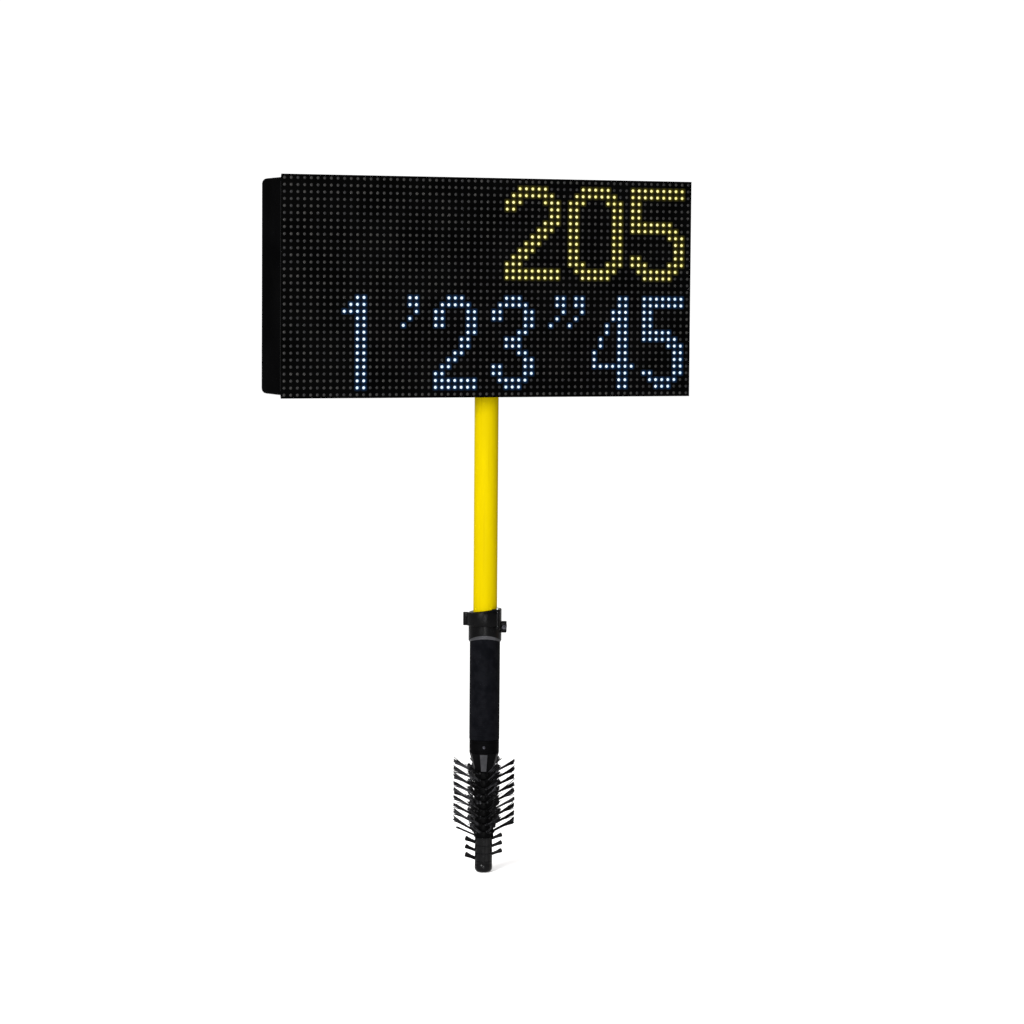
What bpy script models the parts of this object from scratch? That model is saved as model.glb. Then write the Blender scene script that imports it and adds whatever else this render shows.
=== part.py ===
"""Portable pole-mounted LED display with a bristle ground anchor.

A two-by-two block of LED modules closes the front of a shallow case.  The case turns on a round
pole, the pole slides in the anchor's sleeve under a cam-lever clamp, and the brush below the sleeve
holds in a drilled hole.  Metres, +Z up, the display faces -Y.  The origin is on the pole's axis at
ground level, where the cone ends and the brush starts.
"""
from math import cos, pi, radians, sin, tan, tau

import bmesh
import bpy
from mathutils import Matrix, Vector

MM = 0.001

# ---------------------------------------------------------------- driving dimensions
LED_PITCH = 8 * MM
MODULE_COLUMNS = 32
MODULE_ROWS = 16
DISPLAY_DEPTH = 90 * MM          # front of the masks to the case's back
DISPLAY_BOTTOM = 446.5 * MM      # lower edge of the masks above the ground
DISPLAY_SHIFT = -9.5 * MM        # display's middle from the pole's axis, along X

MASK_DEPTH = 10 * MM
MASK_PLATE = 3.5 * MM
MASK_WALL = 2 * MM
MODULE_DEPTH = 18 * MM           # mask front to the back of the LED board's tray
BOARD_INSET = 6 * MM             # board tray inside its mask's outline
CASE_INSET = 3 * MM              # case walls inside the masks' outline
CASE_WALL = 2.5 * MM
CASE_CORNER = 6 * MM
GASKET_THICK = 1.4 * MM
CROSS_WIDTH = 11 * MM

POLE_RADIUS = 14.2 * MM
POLE_WALL = 2.2 * MM
POLE_FOOT = 66 * MM              # lower end of the tube above the ground
SOCKET_DEPTH = 118 * MM          # pole's socket inside the case
SOCKET_WALL = 2 * MM
SOCKET_FLANGE = 30 * MM          # flange radius
SOCKET_FLANGE_THICK = 3 * MM
SOCKET_TO_BOARD = 1.4 * MM
PLUG_HEAD = 3.7 * MM
PLUG_SPIGOT = 20 * MM

SLEEVE_WALL = 1.8 * MM
GRIP_WALL = 1.3 * MM
GRIP_BOTTOM = 38.4 * MM
RING_BOTTOM = 22.8 * MM
SLEEVE_TOP = 185 * MM
COLLAR_BOTTOM = 155.2 * MM
COLLAR_TOP = 195.2 * MM
COLLAR_WALL = 2.9 * MM
COLLAR_LIP = 5.4 * MM            # height of the conical lower lip
COLLAR_SLIT = 2 * MM
COLLAR_CHAMFER = 1.2 * MM
STOP_THICK = 3.7 * MM

EAR_REACH = 6 * MM               # pinch ears beyond the collar
EAR_THICK = 4.2 * MM
EAR_BOTTOM = 166.5 * MM
EAR_TOP = 179.7 * MM
EAR_ANGLE = radians(-21.5)
PINCH_RADIUS = 1.9 * MM
PINCH_HEAD_RADIUS = 3.4 * MM
PINCH_HEAD = 2.6 * MM
PINCH_OUT = 3.4 * MM             # pinch screw's axis outside the collar

LEVER_BOTTOM = 175 * MM
LEVER_TOP = 191 * MM
LEVER_THICK = 2.8 * MM
LEVER_PIN_ANGLE = radians(-68)
LEVER_END_ANGLE = radians(-184)
LEVER_PIN_OUT = 2 * MM           # pin's axis outside the collar
LEVER_BOSS = 3.2 * MM
LEVER_TAB = 6.5 * MM             # finger tab beyond the arm
PIN_RADIUS = 1.3 * MM
PIN_HEAD = 1.1 * MM
LEVER_PLAY = 0.5 * MM            # between the lever's arm and the collar
LEVER_STEPS = 18
LUG_THICK = 3.6 * MM

CONE_TIP_RADIUS = 11.85 * MM
CONE_FLATS = 8
CORE_RADIUS = 7 * MM
CORE_GRIP = 20 * MM              # core's upper end inside the cone
CONE_SPIGOT_TOP = 57.4 * MM
LONG_TIERS = 9
LONG_PITCH = 8.8 * MM
STUB_TIERS = 3
STUB_PITCH = 9.5 * MM
LONG_HUB_RADIUS = 13.5 * MM
STUB_HUB_RADIUS = 10.5 * MM
LONG_REACH = 33.8 * MM
STUB_REACH = 21.3 * MM
LONG_RISE = radians(30)
STUB_RISE = radians(20)
LONG_ROOT = 1.6 * MM             # tuft's root below its tier's top
HUB_SIDES = 12
LONG_TUFTS = 6
STUB_TUFTS = 2
TUFT_ROOT = 2.4 * MM
TUFT_TIP = 1.7 * MM
TIP_SIDES = 24
TIP_LENGTH = 13.4 * MM
TIP_ROUND = 4.5 * MM
RING_SCREW_RADIUS = 1.2 * MM

BATTERY = (140 * MM, 46 * MM, 80 * MM)
BATTERY_CORNER = 4 * MM
CRADLE_THICK = 2 * MM
CRADLE_LIP = 22 * MM
BOARD_SIZE = (130 * MM, 1.6 * MM, 88 * MM)
RADIO_SIZE = (34 * MM, 4 * MM, 26 * MM)
CONVERTER = (104 * MM, 30 * MM, 58 * MM)
CONVERTER_FINS = 7
HARNESS_RADIUS = 3 * MM
SIDE_MARGIN = 22 * MM            # electronics inside the case's side walls

COVER_OPENING = (150 * MM, 150 * MM)
COVER_LAP = 12 * MM
COVER_THICK = 2.5 * MM
COVER_SCREW_RADIUS = 1.7 * MM
COVER_SCREW_LENGTH = 11 * MM
COVER_CORNER = 6 * MM
SCREW_HEAD_RADIUS = 3.1 * MM
SCREW_HEAD = 1.9 * MM
KNOB_HEIGHT = 44 * MM            # clamp knob's axis above the display's lower edge
KNOB_RADIUS = 17 * MM
KNOB_THICK = 14 * MM
KNOB_LOBES = 5
KNOB_SHAFT = 3 * MM
BUTTON_RADIUS = 7 * MM
BUTTON_PROUD = 2.5 * MM
BUTTON_EDGE = 0.8 * MM
BEZEL_WALL = 1.6 * MM
BEZEL_FLANGE = 3 * MM
PORT_SIZE = (22 * MM, 16 * MM)
PORT_DEPTH = 14 * MM
PORT_FLANGE = 1.5 * MM
CAP_THICK = 4.6 * MM
CAP_BARREL = 1.9 * MM
CAP_PIN = 1 * MM

GAP = 0.3 * MM                   # between pieces that touch
SLIDE_GAP = 0.4 * MM             # pole in the sleeve and in the socket
PIN_GAP = 0.35 * MM              # hinge pins in their holes

ROUND = 32
SMALL_ROUND = 16

# ---------------------------------------------------------------- derived sizes
MODULE_W = MODULE_COLUMNS * LED_PITCH
MODULE_H = MODULE_ROWS * LED_PITCH
DISPLAY_TOP = DISPLAY_BOTTOM + 2 * MODULE_H
DISPLAY_MIDDLE = DISPLAY_BOTTOM + MODULE_H
SOCKET_BORE = POLE_RADIUS + SLIDE_GAP
SOCKET_RADIUS = SOCKET_BORE + SOCKET_WALL
BOARD_BACK = -(SOCKET_RADIUS + SOCKET_TO_BOARD)
FRONT = BOARD_BACK - MODULE_DEPTH
MASK_BACK = FRONT + MASK_DEPTH
CASE_FRONT = MASK_BACK + GAP + GASKET_THICK + GAP
CASE_BACK = FRONT + DISPLAY_DEPTH
CASE_LEFT = DISPLAY_SHIFT - MODULE_W + CASE_INSET
CASE_RIGHT = DISPLAY_SHIFT + MODULE_W - CASE_INSET
CASE_BOTTOM = DISPLAY_BOTTOM + CASE_INSET
CASE_TOP = DISPLAY_TOP - CASE_INSET
INNER_BACK = CASE_BACK - CASE_WALL
INNER_FLOOR = CASE_BOTTOM + CASE_WALL
SOCKET_FOOT = DISPLAY_BOTTOM + GAP
SOCKET_TOP = SOCKET_FOOT + SOCKET_DEPTH
POLE_TOP = SOCKET_TOP - SOCKET_WALL - GAP - PLUG_HEAD - GAP

SLEEVE_BORE = POLE_RADIUS + SLIDE_GAP
SLEEVE_RADIUS = SLEEVE_BORE + SLEEVE_WALL
GRIP_RADIUS = SLEEVE_RADIUS + GAP + GRIP_WALL
RING_RADIUS = GRIP_RADIUS - GAP
COLLAR_RADIUS = SLEEVE_RADIUS + GAP + COLLAR_WALL
PIN_RADIAL = COLLAR_RADIUS + LEVER_PIN_OUT
PIN_X = PIN_RADIAL * cos(LEVER_PIN_ANGLE)
PIN_Y = PIN_RADIAL * sin(LEVER_PIN_ANGLE)
SPIGOT_RADIUS = SLEEVE_BORE - GAP
COLLAR_BORE = SLEEVE_RADIUS + GAP
COLLAR_NECK = POLE_RADIUS + SLIDE_GAP
LUG_ROOT = (COLLAR_NECK + COLLAR_RADIUS) / 2 + 1.2 * MM
COVER_MIDDLE = (CASE_LEFT + CASE_WALL + SIDE_MARGIN + BATTERY[0] / 2, DISPLAY_MIDDLE - SIDE_MARGIN)
STUB_TOP = -LONG_TIERS * LONG_PITCH
CORE_FOOT = STUB_TOP - STUB_TIERS * STUB_PITCH
KNOB_Z = DISPLAY_BOTTOM + KNOB_HEIGHT
BUTTON_AT = (DISPLAY_SHIFT + MODULE_W / 2, DISPLAY_MIDDLE + MODULE_H / 4)
PORT_AT = (BUTTON_AT[0] + 45 * MM, BUTTON_AT[1])


# ---------------------------------------------------------------- tools
def clear_scene():
    for old in list(bpy.data.objects):
        bpy.data.objects.remove(old, do_unlink=True)


def finish(name, colour, roughness, metallic=0.0):
    """A Principled BSDF with one colour."""
    material = bpy.data.materials.new(name)
    material.use_nodes = True
    shader = material.node_tree.nodes["Principled BSDF"]
    shader.inputs["Base Color"].default_value = (*colour, 1.0)
    shader.inputs["Roughness"].default_value = roughness
    shader.inputs["Metallic"].default_value = metallic
    material.diffuse_color = (*colour, 1.0)
    return material


def axis_empty(name, place, parent=None):
    """An empty on a joint's axis, which its moving pieces hang on."""
    empty = bpy.data.objects.new(name, None)
    empty.empty_display_size = 0.02
    bpy.context.scene.collection.objects.link(empty)
    empty.location = Vector(place) - (world_of(parent) if parent else Vector())
    empty.parent = parent
    return empty


def world_of(empty):
    place = Vector()
    while empty:
        place += empty.location
        empty = empty.parent
    return place


def add(name, bm, material, parent=None, sharp=35):
    """Make an object of a bmesh that was built in world coordinates."""
    bmesh.ops.recalc_face_normals(bm, faces=bm.faces)
    if parent:
        bmesh.ops.translate(bm, vec=-world_of(parent), verts=bm.verts)
    mesh = bpy.data.meshes.new(name)
    bm.to_mesh(mesh)
    bm.free()
    mesh.shade_smooth()
    mesh.set_sharp_from_angle(angle=radians(sharp))
    mesh.materials.append(material)
    item = bpy.data.objects.new(name, mesh)
    item.parent = parent
    bpy.context.scene.collection.objects.link(item)
    return item


def block(low, high, corner=0.0, along=None, segments=2):
    """A box between two corners.  corner rounds its edges, or only those that run along an axis."""
    low, high = Vector(low), Vector(high)
    bm = bmesh.new()
    bmesh.ops.create_cube(bm, size=1)
    bmesh.ops.scale(bm, vec=high - low, verts=bm.verts)
    bmesh.ops.translate(bm, vec=(low + high) / 2, verts=bm.verts)
    if corner:
        edges = bm.edges[:]
        if along is not None:
            edges = [e for e in edges if abs((e.verts[0].co - e.verts[1].co)[along]) > 1e-6]
        bmesh.ops.bevel(bm, geom=edges, offset=corner, segments=segments, profile=0.5, affect="EDGES")
    return bm


def turned(profile, sides=ROUND, at=(0, 0, 0), axis="Z", shape=None):
    """Spin a closed (radius, height) profile about an axis through a point.

    shape(angle, radius, height) may give a radius that changes round the turn.
    """
    bm = bmesh.new()
    rings = []
    for radius, height in profile:
        if radius < 1e-9:
            rings.append([bm.verts.new((0, 0, height))] * sides)
            continue
        ring = []
        for i in range(sides):
            angle = tau * i / sides
            here = shape(angle, radius, height) if shape else radius
            ring.append(bm.verts.new((here * cos(angle), here * sin(angle), height)))
        rings.append(ring)
    for k, ring in enumerate(rings):
        after = rings[(k + 1) % len(rings)]
        for i in range(sides):
            j = (i + 1) % sides
            corners = []
            for vert in (ring[i], ring[j], after[j], after[i]):
                if vert not in corners:
                    corners.append(vert)
            if len(corners) > 2:
                bm.faces.new(corners)
    if axis == "Y":
        bmesh.ops.rotate(bm, matrix=Matrix.Rotation(-pi / 2, 3, "X"), verts=bm.verts)
    bmesh.ops.translate(bm, vec=at, verts=bm.verts)
    return bm


def pipe(outer, inner, low, high, sides=ROUND, **place):
    """A plain tube."""
    return turned([(outer, low), (outer, high), (inner, high), (inner, low)], sides, **place)


def rod(radius, low, high, sides=ROUND, **place):
    """A plain solid cylinder."""
    return turned([(0, low), (radius, low), (radius, high), (0, high)], sides, **place)


def plate(outline, low, high):
    """A flat outline in X and Y, extruded up."""
    bm = bmesh.new()
    face = bm.faces.new([bm.verts.new((x, y, low)) for x, y in outline])
    extruded = bmesh.ops.extrude_face_region(bm, geom=[face])["geom"]
    raised = [item for item in extruded if isinstance(item, bmesh.types.BMVert)]
    bmesh.ops.translate(bm, vec=(0, 0, high - low), verts=raised)
    return bm


def join(*parts):
    """Put several closed shapes into one bmesh, for a cutter or a union's second shape."""
    whole = bmesh.new()
    for part in parts:
        carrier = bpy.data.meshes.new("joined")
        bmesh.ops.recalc_face_normals(part, faces=part.faces)
        part.to_mesh(carrier)
        part.free()
        whole.from_mesh(carrier)
        bpy.data.meshes.remove(carrier)
    return whole


def swung(bm, angle):
    """Turn a shape about the pole's axis."""
    bmesh.ops.rotate(bm, cent=(0, 0, 0), matrix=Matrix.Rotation(angle, 3, "Z"), verts=bm.verts)
    return bm


def combine(item, helper_name, bm, operation, parent=None):
    """A Boolean with a helper shape that is itself no part of the object."""
    helper = add(helper_name, bm, item.data.materials[0], parent)
    helper.hide_render = True
    helper.display_type = "WIRE"
    combine_with(item, helper, operation)
    return helper


def combine_with(item, helper, operation):
    boolean = item.modifiers.new(helper.name, "BOOLEAN")
    boolean.operation = operation
    boolean.solver = "EXACT"
    boolean.object = helper


# ---------------------------------------------------------------- the brush and its cone
def flats(angle, radius, _height):
    """Radius of a regular polygon whose corners lie on the given radius, one flat facing front-left."""
    step = tau / CONE_FLATS
    turn = (angle - EAR_ANGLE + pi / 2 + step / 2) % step - step / 2
    return radius * cos(step / 2) / cos(turn)


def bristle_tier(name, top, pitch, tufts, hub, reach, rise, root_drop, material):
    """A hub with a circle of tufts that slope up and out, drawn from the hub's own side faces."""
    top -= GAP / 2
    low = top - pitch + GAP
    bm = swung(pipe(hub, CORE_RADIUS + GAP, low, top, HUB_SIDES), EAR_ANGLE - pi / HUB_SIDES)
    bm.normal_update()
    side_faces = [f for f in bm.faces if f.calc_center_median().xy.length > hub * 0.9]
    flat = hub * cos(pi / HUB_SIDES)
    width = 2 * hub * sin(pi / HUB_SIDES)
    root_z = top - root_drop
    run = reach - flat
    angles = [EAR_ANGLE + tau * tuft / tufts for tuft in range(tufts)]
    ways = [Vector((cos(angle), sin(angle), 0)) for angle in angles]
    roots = [max(side_faces, key=lambda f, out=out: f.calc_center_median().dot(out)) for out in ways]
    for out, face in zip(ways, roots):
        bmesh.ops.inset_region(bm, faces=[face], thickness=(width - TUFT_ROOT) / 2)
        middle = out * flat + Vector((0, 0, root_z))
        centre_z = face.calc_center_median().z
        for vert in face.verts:
            vert.co.z = root_z + (TUFT_ROOT / 2 if vert.co.z > centre_z else -TUFT_ROOT / 2)
        end = bmesh.ops.extrude_discrete_faces(bm, faces=[face])["faces"][0]
        tip = middle + out * run + Vector((0, 0, run * tan(rise)))
        for vert in end.verts:
            vert.co = tip + (vert.co - middle) * (TUFT_TIP / TUFT_ROOT)
    return add(name, bm, material, sharp=30)


def make_brush(plastic, bristle, steel):
    add("brush_core", rod(CORE_RADIUS, CORE_FOOT + GAP, CORE_GRIP, TIP_SIDES), steel)
    for index in range(LONG_TIERS):
        bristle_tier(f"bristle_tier_{index + 1}", -index * LONG_PITCH, LONG_PITCH, LONG_TUFTS,
                     LONG_HUB_RADIUS, LONG_REACH, LONG_RISE, LONG_ROOT, bristle)
    for index in range(STUB_TIERS):
        bristle_tier(f"stub_tier_{index + 1}", STUB_TOP - index * STUB_PITCH, STUB_PITCH, STUB_TUFTS,
                     STUB_HUB_RADIUS, STUB_REACH, STUB_RISE, STUB_PITCH / 2, bristle)
    foot = CORE_FOOT - TIP_LENGTH
    profile = [(0, CORE_FOOT), (STUB_HUB_RADIUS, CORE_FOOT)]
    for step in range(5):
        bend = pi / 2 * step / 4
        across = STUB_HUB_RADIUS - TIP_ROUND * (1 - cos(bend))
        profile.append((across, foot + TIP_ROUND * (1 - sin(bend))))
    add("brush_tip", turned(profile + [(0, foot)], TIP_SIDES), plastic)


def make_cone(plastic):
    """A tapered collar with spanner flats, and the spigot that goes up into the sleeve."""
    bore = CORE_RADIUS + GAP
    top = RING_BOTTOM - GAP

    def outside(angle, radius, height):
        return flats(angle, radius, height) if height <= top and radius > bore * 1.01 else radius

    profile = [(CONE_TIP_RADIUS, GAP), (RING_RADIUS, top - 2 * MM), (RING_RADIUS, top)]
    profile += [(SPIGOT_RADIUS, top + GAP / 10), (SPIGOT_RADIUS, CONE_SPIGOT_TOP), (0, CONE_SPIGOT_TOP)]
    profile += [(0, CORE_GRIP + GAP), (bore, CORE_GRIP + GAP), (bore, GAP)]
    return add("anchor_cone", turned(profile, 32, shape=outside), plastic, sharp=25)


# ---------------------------------------------------------------- sleeve, grip, ring and clamp
def make_sleeve(aluminium, rubber, plastic, steel):
    sleeve = add("ground_sleeve", pipe(SLEEVE_RADIUS, SLEEVE_BORE, RING_BOTTOM, SLEEVE_TOP, 48), aluminium)
    grip_profile = [(GRIP_RADIUS, GRIP_BOTTOM + GAP), (GRIP_RADIUS, COLLAR_BOTTOM - GAP)]
    grip_profile += [(SLEEVE_RADIUS + GAP, COLLAR_BOTTOM - GAP), (SLEEVE_RADIUS + GAP, GRIP_BOTTOM + GAP)]
    add("grip_sleeve", turned(grip_profile, 48), rubber)
    ring = add("lock_ring", pipe(RING_RADIUS, SLEEVE_RADIUS + GAP, RING_BOTTOM, GRIP_BOTTOM, 48), plastic)
    seat = CONE_SPIGOT_TOP + GAP
    add("pole_stop", pipe(SPIGOT_RADIUS, CORE_RADIUS, seat, seat + STOP_THICK, TIP_SIDES), rubber)

    front = EAR_ANGLE - pi / 2
    height = (RING_BOTTOM + GRIP_BOTTOM) / 2
    start = SPIGOT_RADIUS + GAP
    along = Matrix.Rotation(pi / 2, 3, "Y")

    def radial(bm):
        bmesh.ops.rotate(bm, cent=(0, 0, 0), matrix=along, verts=bm.verts)
        bmesh.ops.translate(bm, vec=(0, 0, height), verts=bm.verts)
        return swung(bm, front)

    drill = radial(rod(RING_SCREW_RADIUS + GAP, start - MM, RING_RADIUS + 4 * MM, SMALL_ROUND))
    hole = combine(ring, "ring_screw_drill", drill, "DIFFERENCE")
    combine_with(sleeve, hole, "DIFFERENCE")
    head = [(0, start), (RING_SCREW_RADIUS, start), (RING_SCREW_RADIUS, RING_RADIUS + GAP)]
    head += [(2 * MM, RING_RADIUS + GAP), (1.5 * MM, RING_RADIUS + 1.2 * MM), (0, RING_RADIUS + 1.3 * MM)]
    add("ring_screw", radial(turned(head, SMALL_ROUND)), steel)


def make_collar(plastic, steel):
    """A split collar: wide over the sleeve, close round the pole above it."""
    profile = [(GRIP_RADIUS + GAP, COLLAR_BOTTOM), (COLLAR_RADIUS, COLLAR_BOTTOM + COLLAR_LIP)]
    profile += [(COLLAR_RADIUS, COLLAR_TOP - COLLAR_CHAMFER), (COLLAR_RADIUS - COLLAR_CHAMFER, COLLAR_TOP)]
    profile += [(COLLAR_NECK, COLLAR_TOP), (COLLAR_NECK, SLEEVE_TOP + GAP)]
    profile += [(COLLAR_BORE, SLEEVE_TOP + GAP), (COLLAR_BORE, COLLAR_BOTTOM)]
    collar = add("clamp_collar", turned(profile, 48), plastic)

    half = COLLAR_SLIT / 2
    reach = half + EAR_THICK
    ear_end = (COLLAR_RADIUS + EAR_REACH, reach, EAR_TOP)
    ears = block((LUG_ROOT, -reach, EAR_BOTTOM), ear_end, COLLAR_CHAMFER, along=1)
    combine(collar, "collar_ears", swung(ears, EAR_ANGLE), "UNION")

    lugs = []
    for low, high in ((LEVER_TOP + GAP, COLLAR_TOP), (LEVER_BOTTOM - GAP - LUG_THICK, LEVER_BOTTOM - GAP)):
        outline = [(LUG_ROOT, -LEVER_BOSS), (LUG_ROOT, LEVER_BOSS)]
        for step in range(9):
            bend = pi / 2 - pi * step / 8
            outline.append((PIN_RADIAL + LEVER_BOSS * cos(bend), LEVER_BOSS * sin(bend)))
        lugs.append(swung(plate(outline, low, high), LEVER_PIN_ANGLE))
    combine(collar, "collar_lugs", join(*lugs), "UNION")

    slit = block((0, -half, COLLAR_BOTTOM - MM), (COLLAR_RADIUS + EAR_REACH + MM, half, COLLAR_TOP + MM))
    combine(collar, "collar_slit", swung(slit, EAR_ANGLE), "DIFFERENCE")
    cam_room = rod(LEVER_BOSS + GAP, LEVER_BOTTOM - GAP, LEVER_TOP + GAP, 24, at=(PIN_X, PIN_Y, 0))
    combine(collar, "cam_window", cam_room, "DIFFERENCE")
    pin_low = LEVER_BOTTOM - GAP - LUG_THICK
    pin_drill = rod(PIN_RADIUS + GAP, pin_low - MM, COLLAR_TOP + MM, SMALL_ROUND, at=(PIN_X, PIN_Y, 0))
    combine(collar, "pin_drill", pin_drill, "DIFFERENCE")

    bolt = {"at": (COLLAR_RADIUS + PINCH_OUT, 0, (EAR_BOTTOM + EAR_TOP) / 2), "axis": "Y"}
    drill = rod(PINCH_RADIUS + GAP, -reach - MM, reach + MM, SMALL_ROUND, **bolt)
    combine(collar, "pinch_drill", swung(drill, EAR_ANGLE), "DIFFERENCE")
    seat = -reach - GAP
    screw = [(0, seat - PINCH_HEAD), (PINCH_HEAD_RADIUS - 2 * GAP, seat - PINCH_HEAD)]
    screw += [(PINCH_HEAD_RADIUS, seat - PINCH_HEAD + 2 * GAP), (PINCH_HEAD_RADIUS, seat)]
    screw += [(PINCH_RADIUS, seat)]
    screw += [(PINCH_RADIUS, reach + PINCH_HEAD), (0, reach + PINCH_HEAD)]
    add("pinch_screw", swung(turned(screw, SMALL_ROUND, **bolt), EAR_ANGLE), steel)
    nut = pipe(PINCH_HEAD_RADIUS, PINCH_RADIUS + GAP, reach + GAP, reach + GAP + PINCH_HEAD, 6, **bolt)
    add("pinch_nut", swung(nut, EAR_ANGLE), steel)

    head = COLLAR_TOP + GAP
    pin = [(0, pin_low), (PIN_RADIUS, pin_low), (PIN_RADIUS, head), (PIN_RADIUS + MM, head)]
    pin += [(PIN_RADIUS + GAP, head + PIN_HEAD), (0, head + PIN_HEAD + GAP)]
    add("lever_pin", turned(pin, SMALL_ROUND, at=(PIN_X, PIN_Y, 0)), steel)


def make_lever(plastic, axis):
    """An arm that hugs the collar's front, with a cam boss at its pin and a finger tab at its end."""
    inner = COLLAR_RADIUS + LEVER_PLAY
    outer = inner + LEVER_THICK
    start = LEVER_PIN_ANGLE - radians(4)

    def on_arc(radius, angle):
        return (radius * cos(angle), radius * sin(angle))

    angles = [start + (LEVER_END_ANGLE - start) * i / LEVER_STEPS for i in range(LEVER_STEPS + 1)]
    end = Vector(on_arc(1, LEVER_END_ANGLE))
    onward = Vector((end.y, -end.x))
    flare = (end * 0.87 + onward * 0.5).normalized()
    outside = [on_arc(outer, angle) for angle in angles]
    corner = Vector(on_arc(outer, LEVER_END_ANGLE))
    fingertip = corner + flare * (LEVER_TAB - LEVER_THICK)
    tab = [tuple(fingertip), tuple(fingertip + onward * LEVER_THICK)]
    tab += [on_arc(inner, LEVER_END_ANGLE - radians(7))]
    inside = [on_arc(inner, angle) for angle in reversed(angles)]
    bm = plate(outside + tab + inside, LEVER_BOTTOM, LEVER_TOP)
    lever = add("clamp_lever", bm, plastic, axis)
    boss = rod(LEVER_BOSS, LEVER_BOTTOM, LEVER_TOP, 24, at=(PIN_X, PIN_Y, 0))
    combine(lever, "lever_boss", boss, "UNION", axis)
    drill = rod(PIN_RADIUS + PIN_GAP, LEVER_BOTTOM - MM, LEVER_TOP + MM, SMALL_ROUND, at=(PIN_X, PIN_Y, 0))
    combine(lever, "lever_drill", drill, "DIFFERENCE", axis)


# ---------------------------------------------------------------- the pole
def make_pole(paint, plastic, axis):
    bore = POLE_RADIUS - POLE_WALL
    add("pole", pipe(POLE_RADIUS, bore, POLE_FOOT, POLE_TOP, 48), paint, axis)
    spigot = bore - GAP
    foot = [(0, POLE_FOOT - GAP - PLUG_HEAD), (POLE_RADIUS - MM, POLE_FOOT - GAP - PLUG_HEAD)]
    foot += [(POLE_RADIUS, POLE_FOOT - PLUG_HEAD + MM), (POLE_RADIUS, POLE_FOOT - GAP)]
    foot += [(spigot, POLE_FOOT - GAP), (spigot, POLE_FOOT + PLUG_SPIGOT), (0, POLE_FOOT + PLUG_SPIGOT)]
    add("pole_foot_plug", turned(foot, 32), plastic, axis)
    top = [(0, POLE_TOP - PLUG_SPIGOT), (spigot, POLE_TOP - PLUG_SPIGOT), (spigot, POLE_TOP + GAP)]
    top += [(POLE_RADIUS, POLE_TOP + GAP), (POLE_RADIUS, POLE_TOP + PLUG_HEAD), (0, POLE_TOP + PLUG_HEAD)]
    add("pole_top_plug", turned(top, 32), plastic, axis)


# ---------------------------------------------------------------- the display
def make_modules(mask_plastic, board_plastic, aluminium, axis):
    for row, level in enumerate(("lower", "upper")):
        for column, side in enumerate(("left", "right")):
            low_x = DISPLAY_SHIFT + (column - 1) * MODULE_W
            low_z = DISPLAY_BOTTOM + row * MODULE_H
            low = Vector((low_x + GAP / 2, FRONT, low_z + GAP / 2))
            high = Vector((low_x + MODULE_W - GAP / 2, MASK_BACK, low_z + MODULE_H - GAP / 2))
            mask = add(f"led_mask_{level}_{side}", block(low, high), mask_plastic, axis)
            skin = Vector((MASK_WALL, 0, MASK_WALL))
            hollow = block(low + skin + Vector((0, MASK_PLATE, 0)), high - skin + Vector((0, MM, 0)))
            combine(mask, f"mask_hollow_{level}_{side}", hollow, "DIFFERENCE", axis)
            inset = Vector((BOARD_INSET, 0, BOARD_INSET))
            front = Vector((0, MASK_PLATE + GAP, 0))
            back = Vector((0, BOARD_BACK - MASK_BACK, 0))
            board = block(low + inset + front, high - inset + back, 3 * MM, along=1)
            add(f"led_board_{level}_{side}", board, board_plastic, axis)

    reach_x = MODULE_W - CASE_INSET - CASE_WALL - GAP
    reach_z = MODULE_H - CASE_INSET - CASE_WALL - GAP
    half = CROSS_WIDTH / 2
    arms = [(-half, -reach_z), (half, -reach_z), (half, -half), (reach_x, -half)]
    arms += [(reach_x, half), (half, half)]
    arms += [(half, reach_z), (-half, reach_z), (-half, half), (-reach_x, half), (-reach_x, -half)]
    arms += [(-half, -half)]
    thick = -SOCKET_RADIUS - GAP - MASK_BACK - GAP
    bm = plate([(x + DISPLAY_SHIFT, z + DISPLAY_MIDDLE) for x, z in arms], 0, thick)
    bmesh.ops.rotate(bm, cent=(0, 0, 0), matrix=Matrix.Rotation(pi / 2, 3, "X"), verts=bm.verts)
    depth = -SOCKET_RADIUS - GAP
    bmesh.ops.translate(bm, vec=(0, depth, 0), verts=bm.verts)
    add("module_cross", bm, aluminium, axis)


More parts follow.
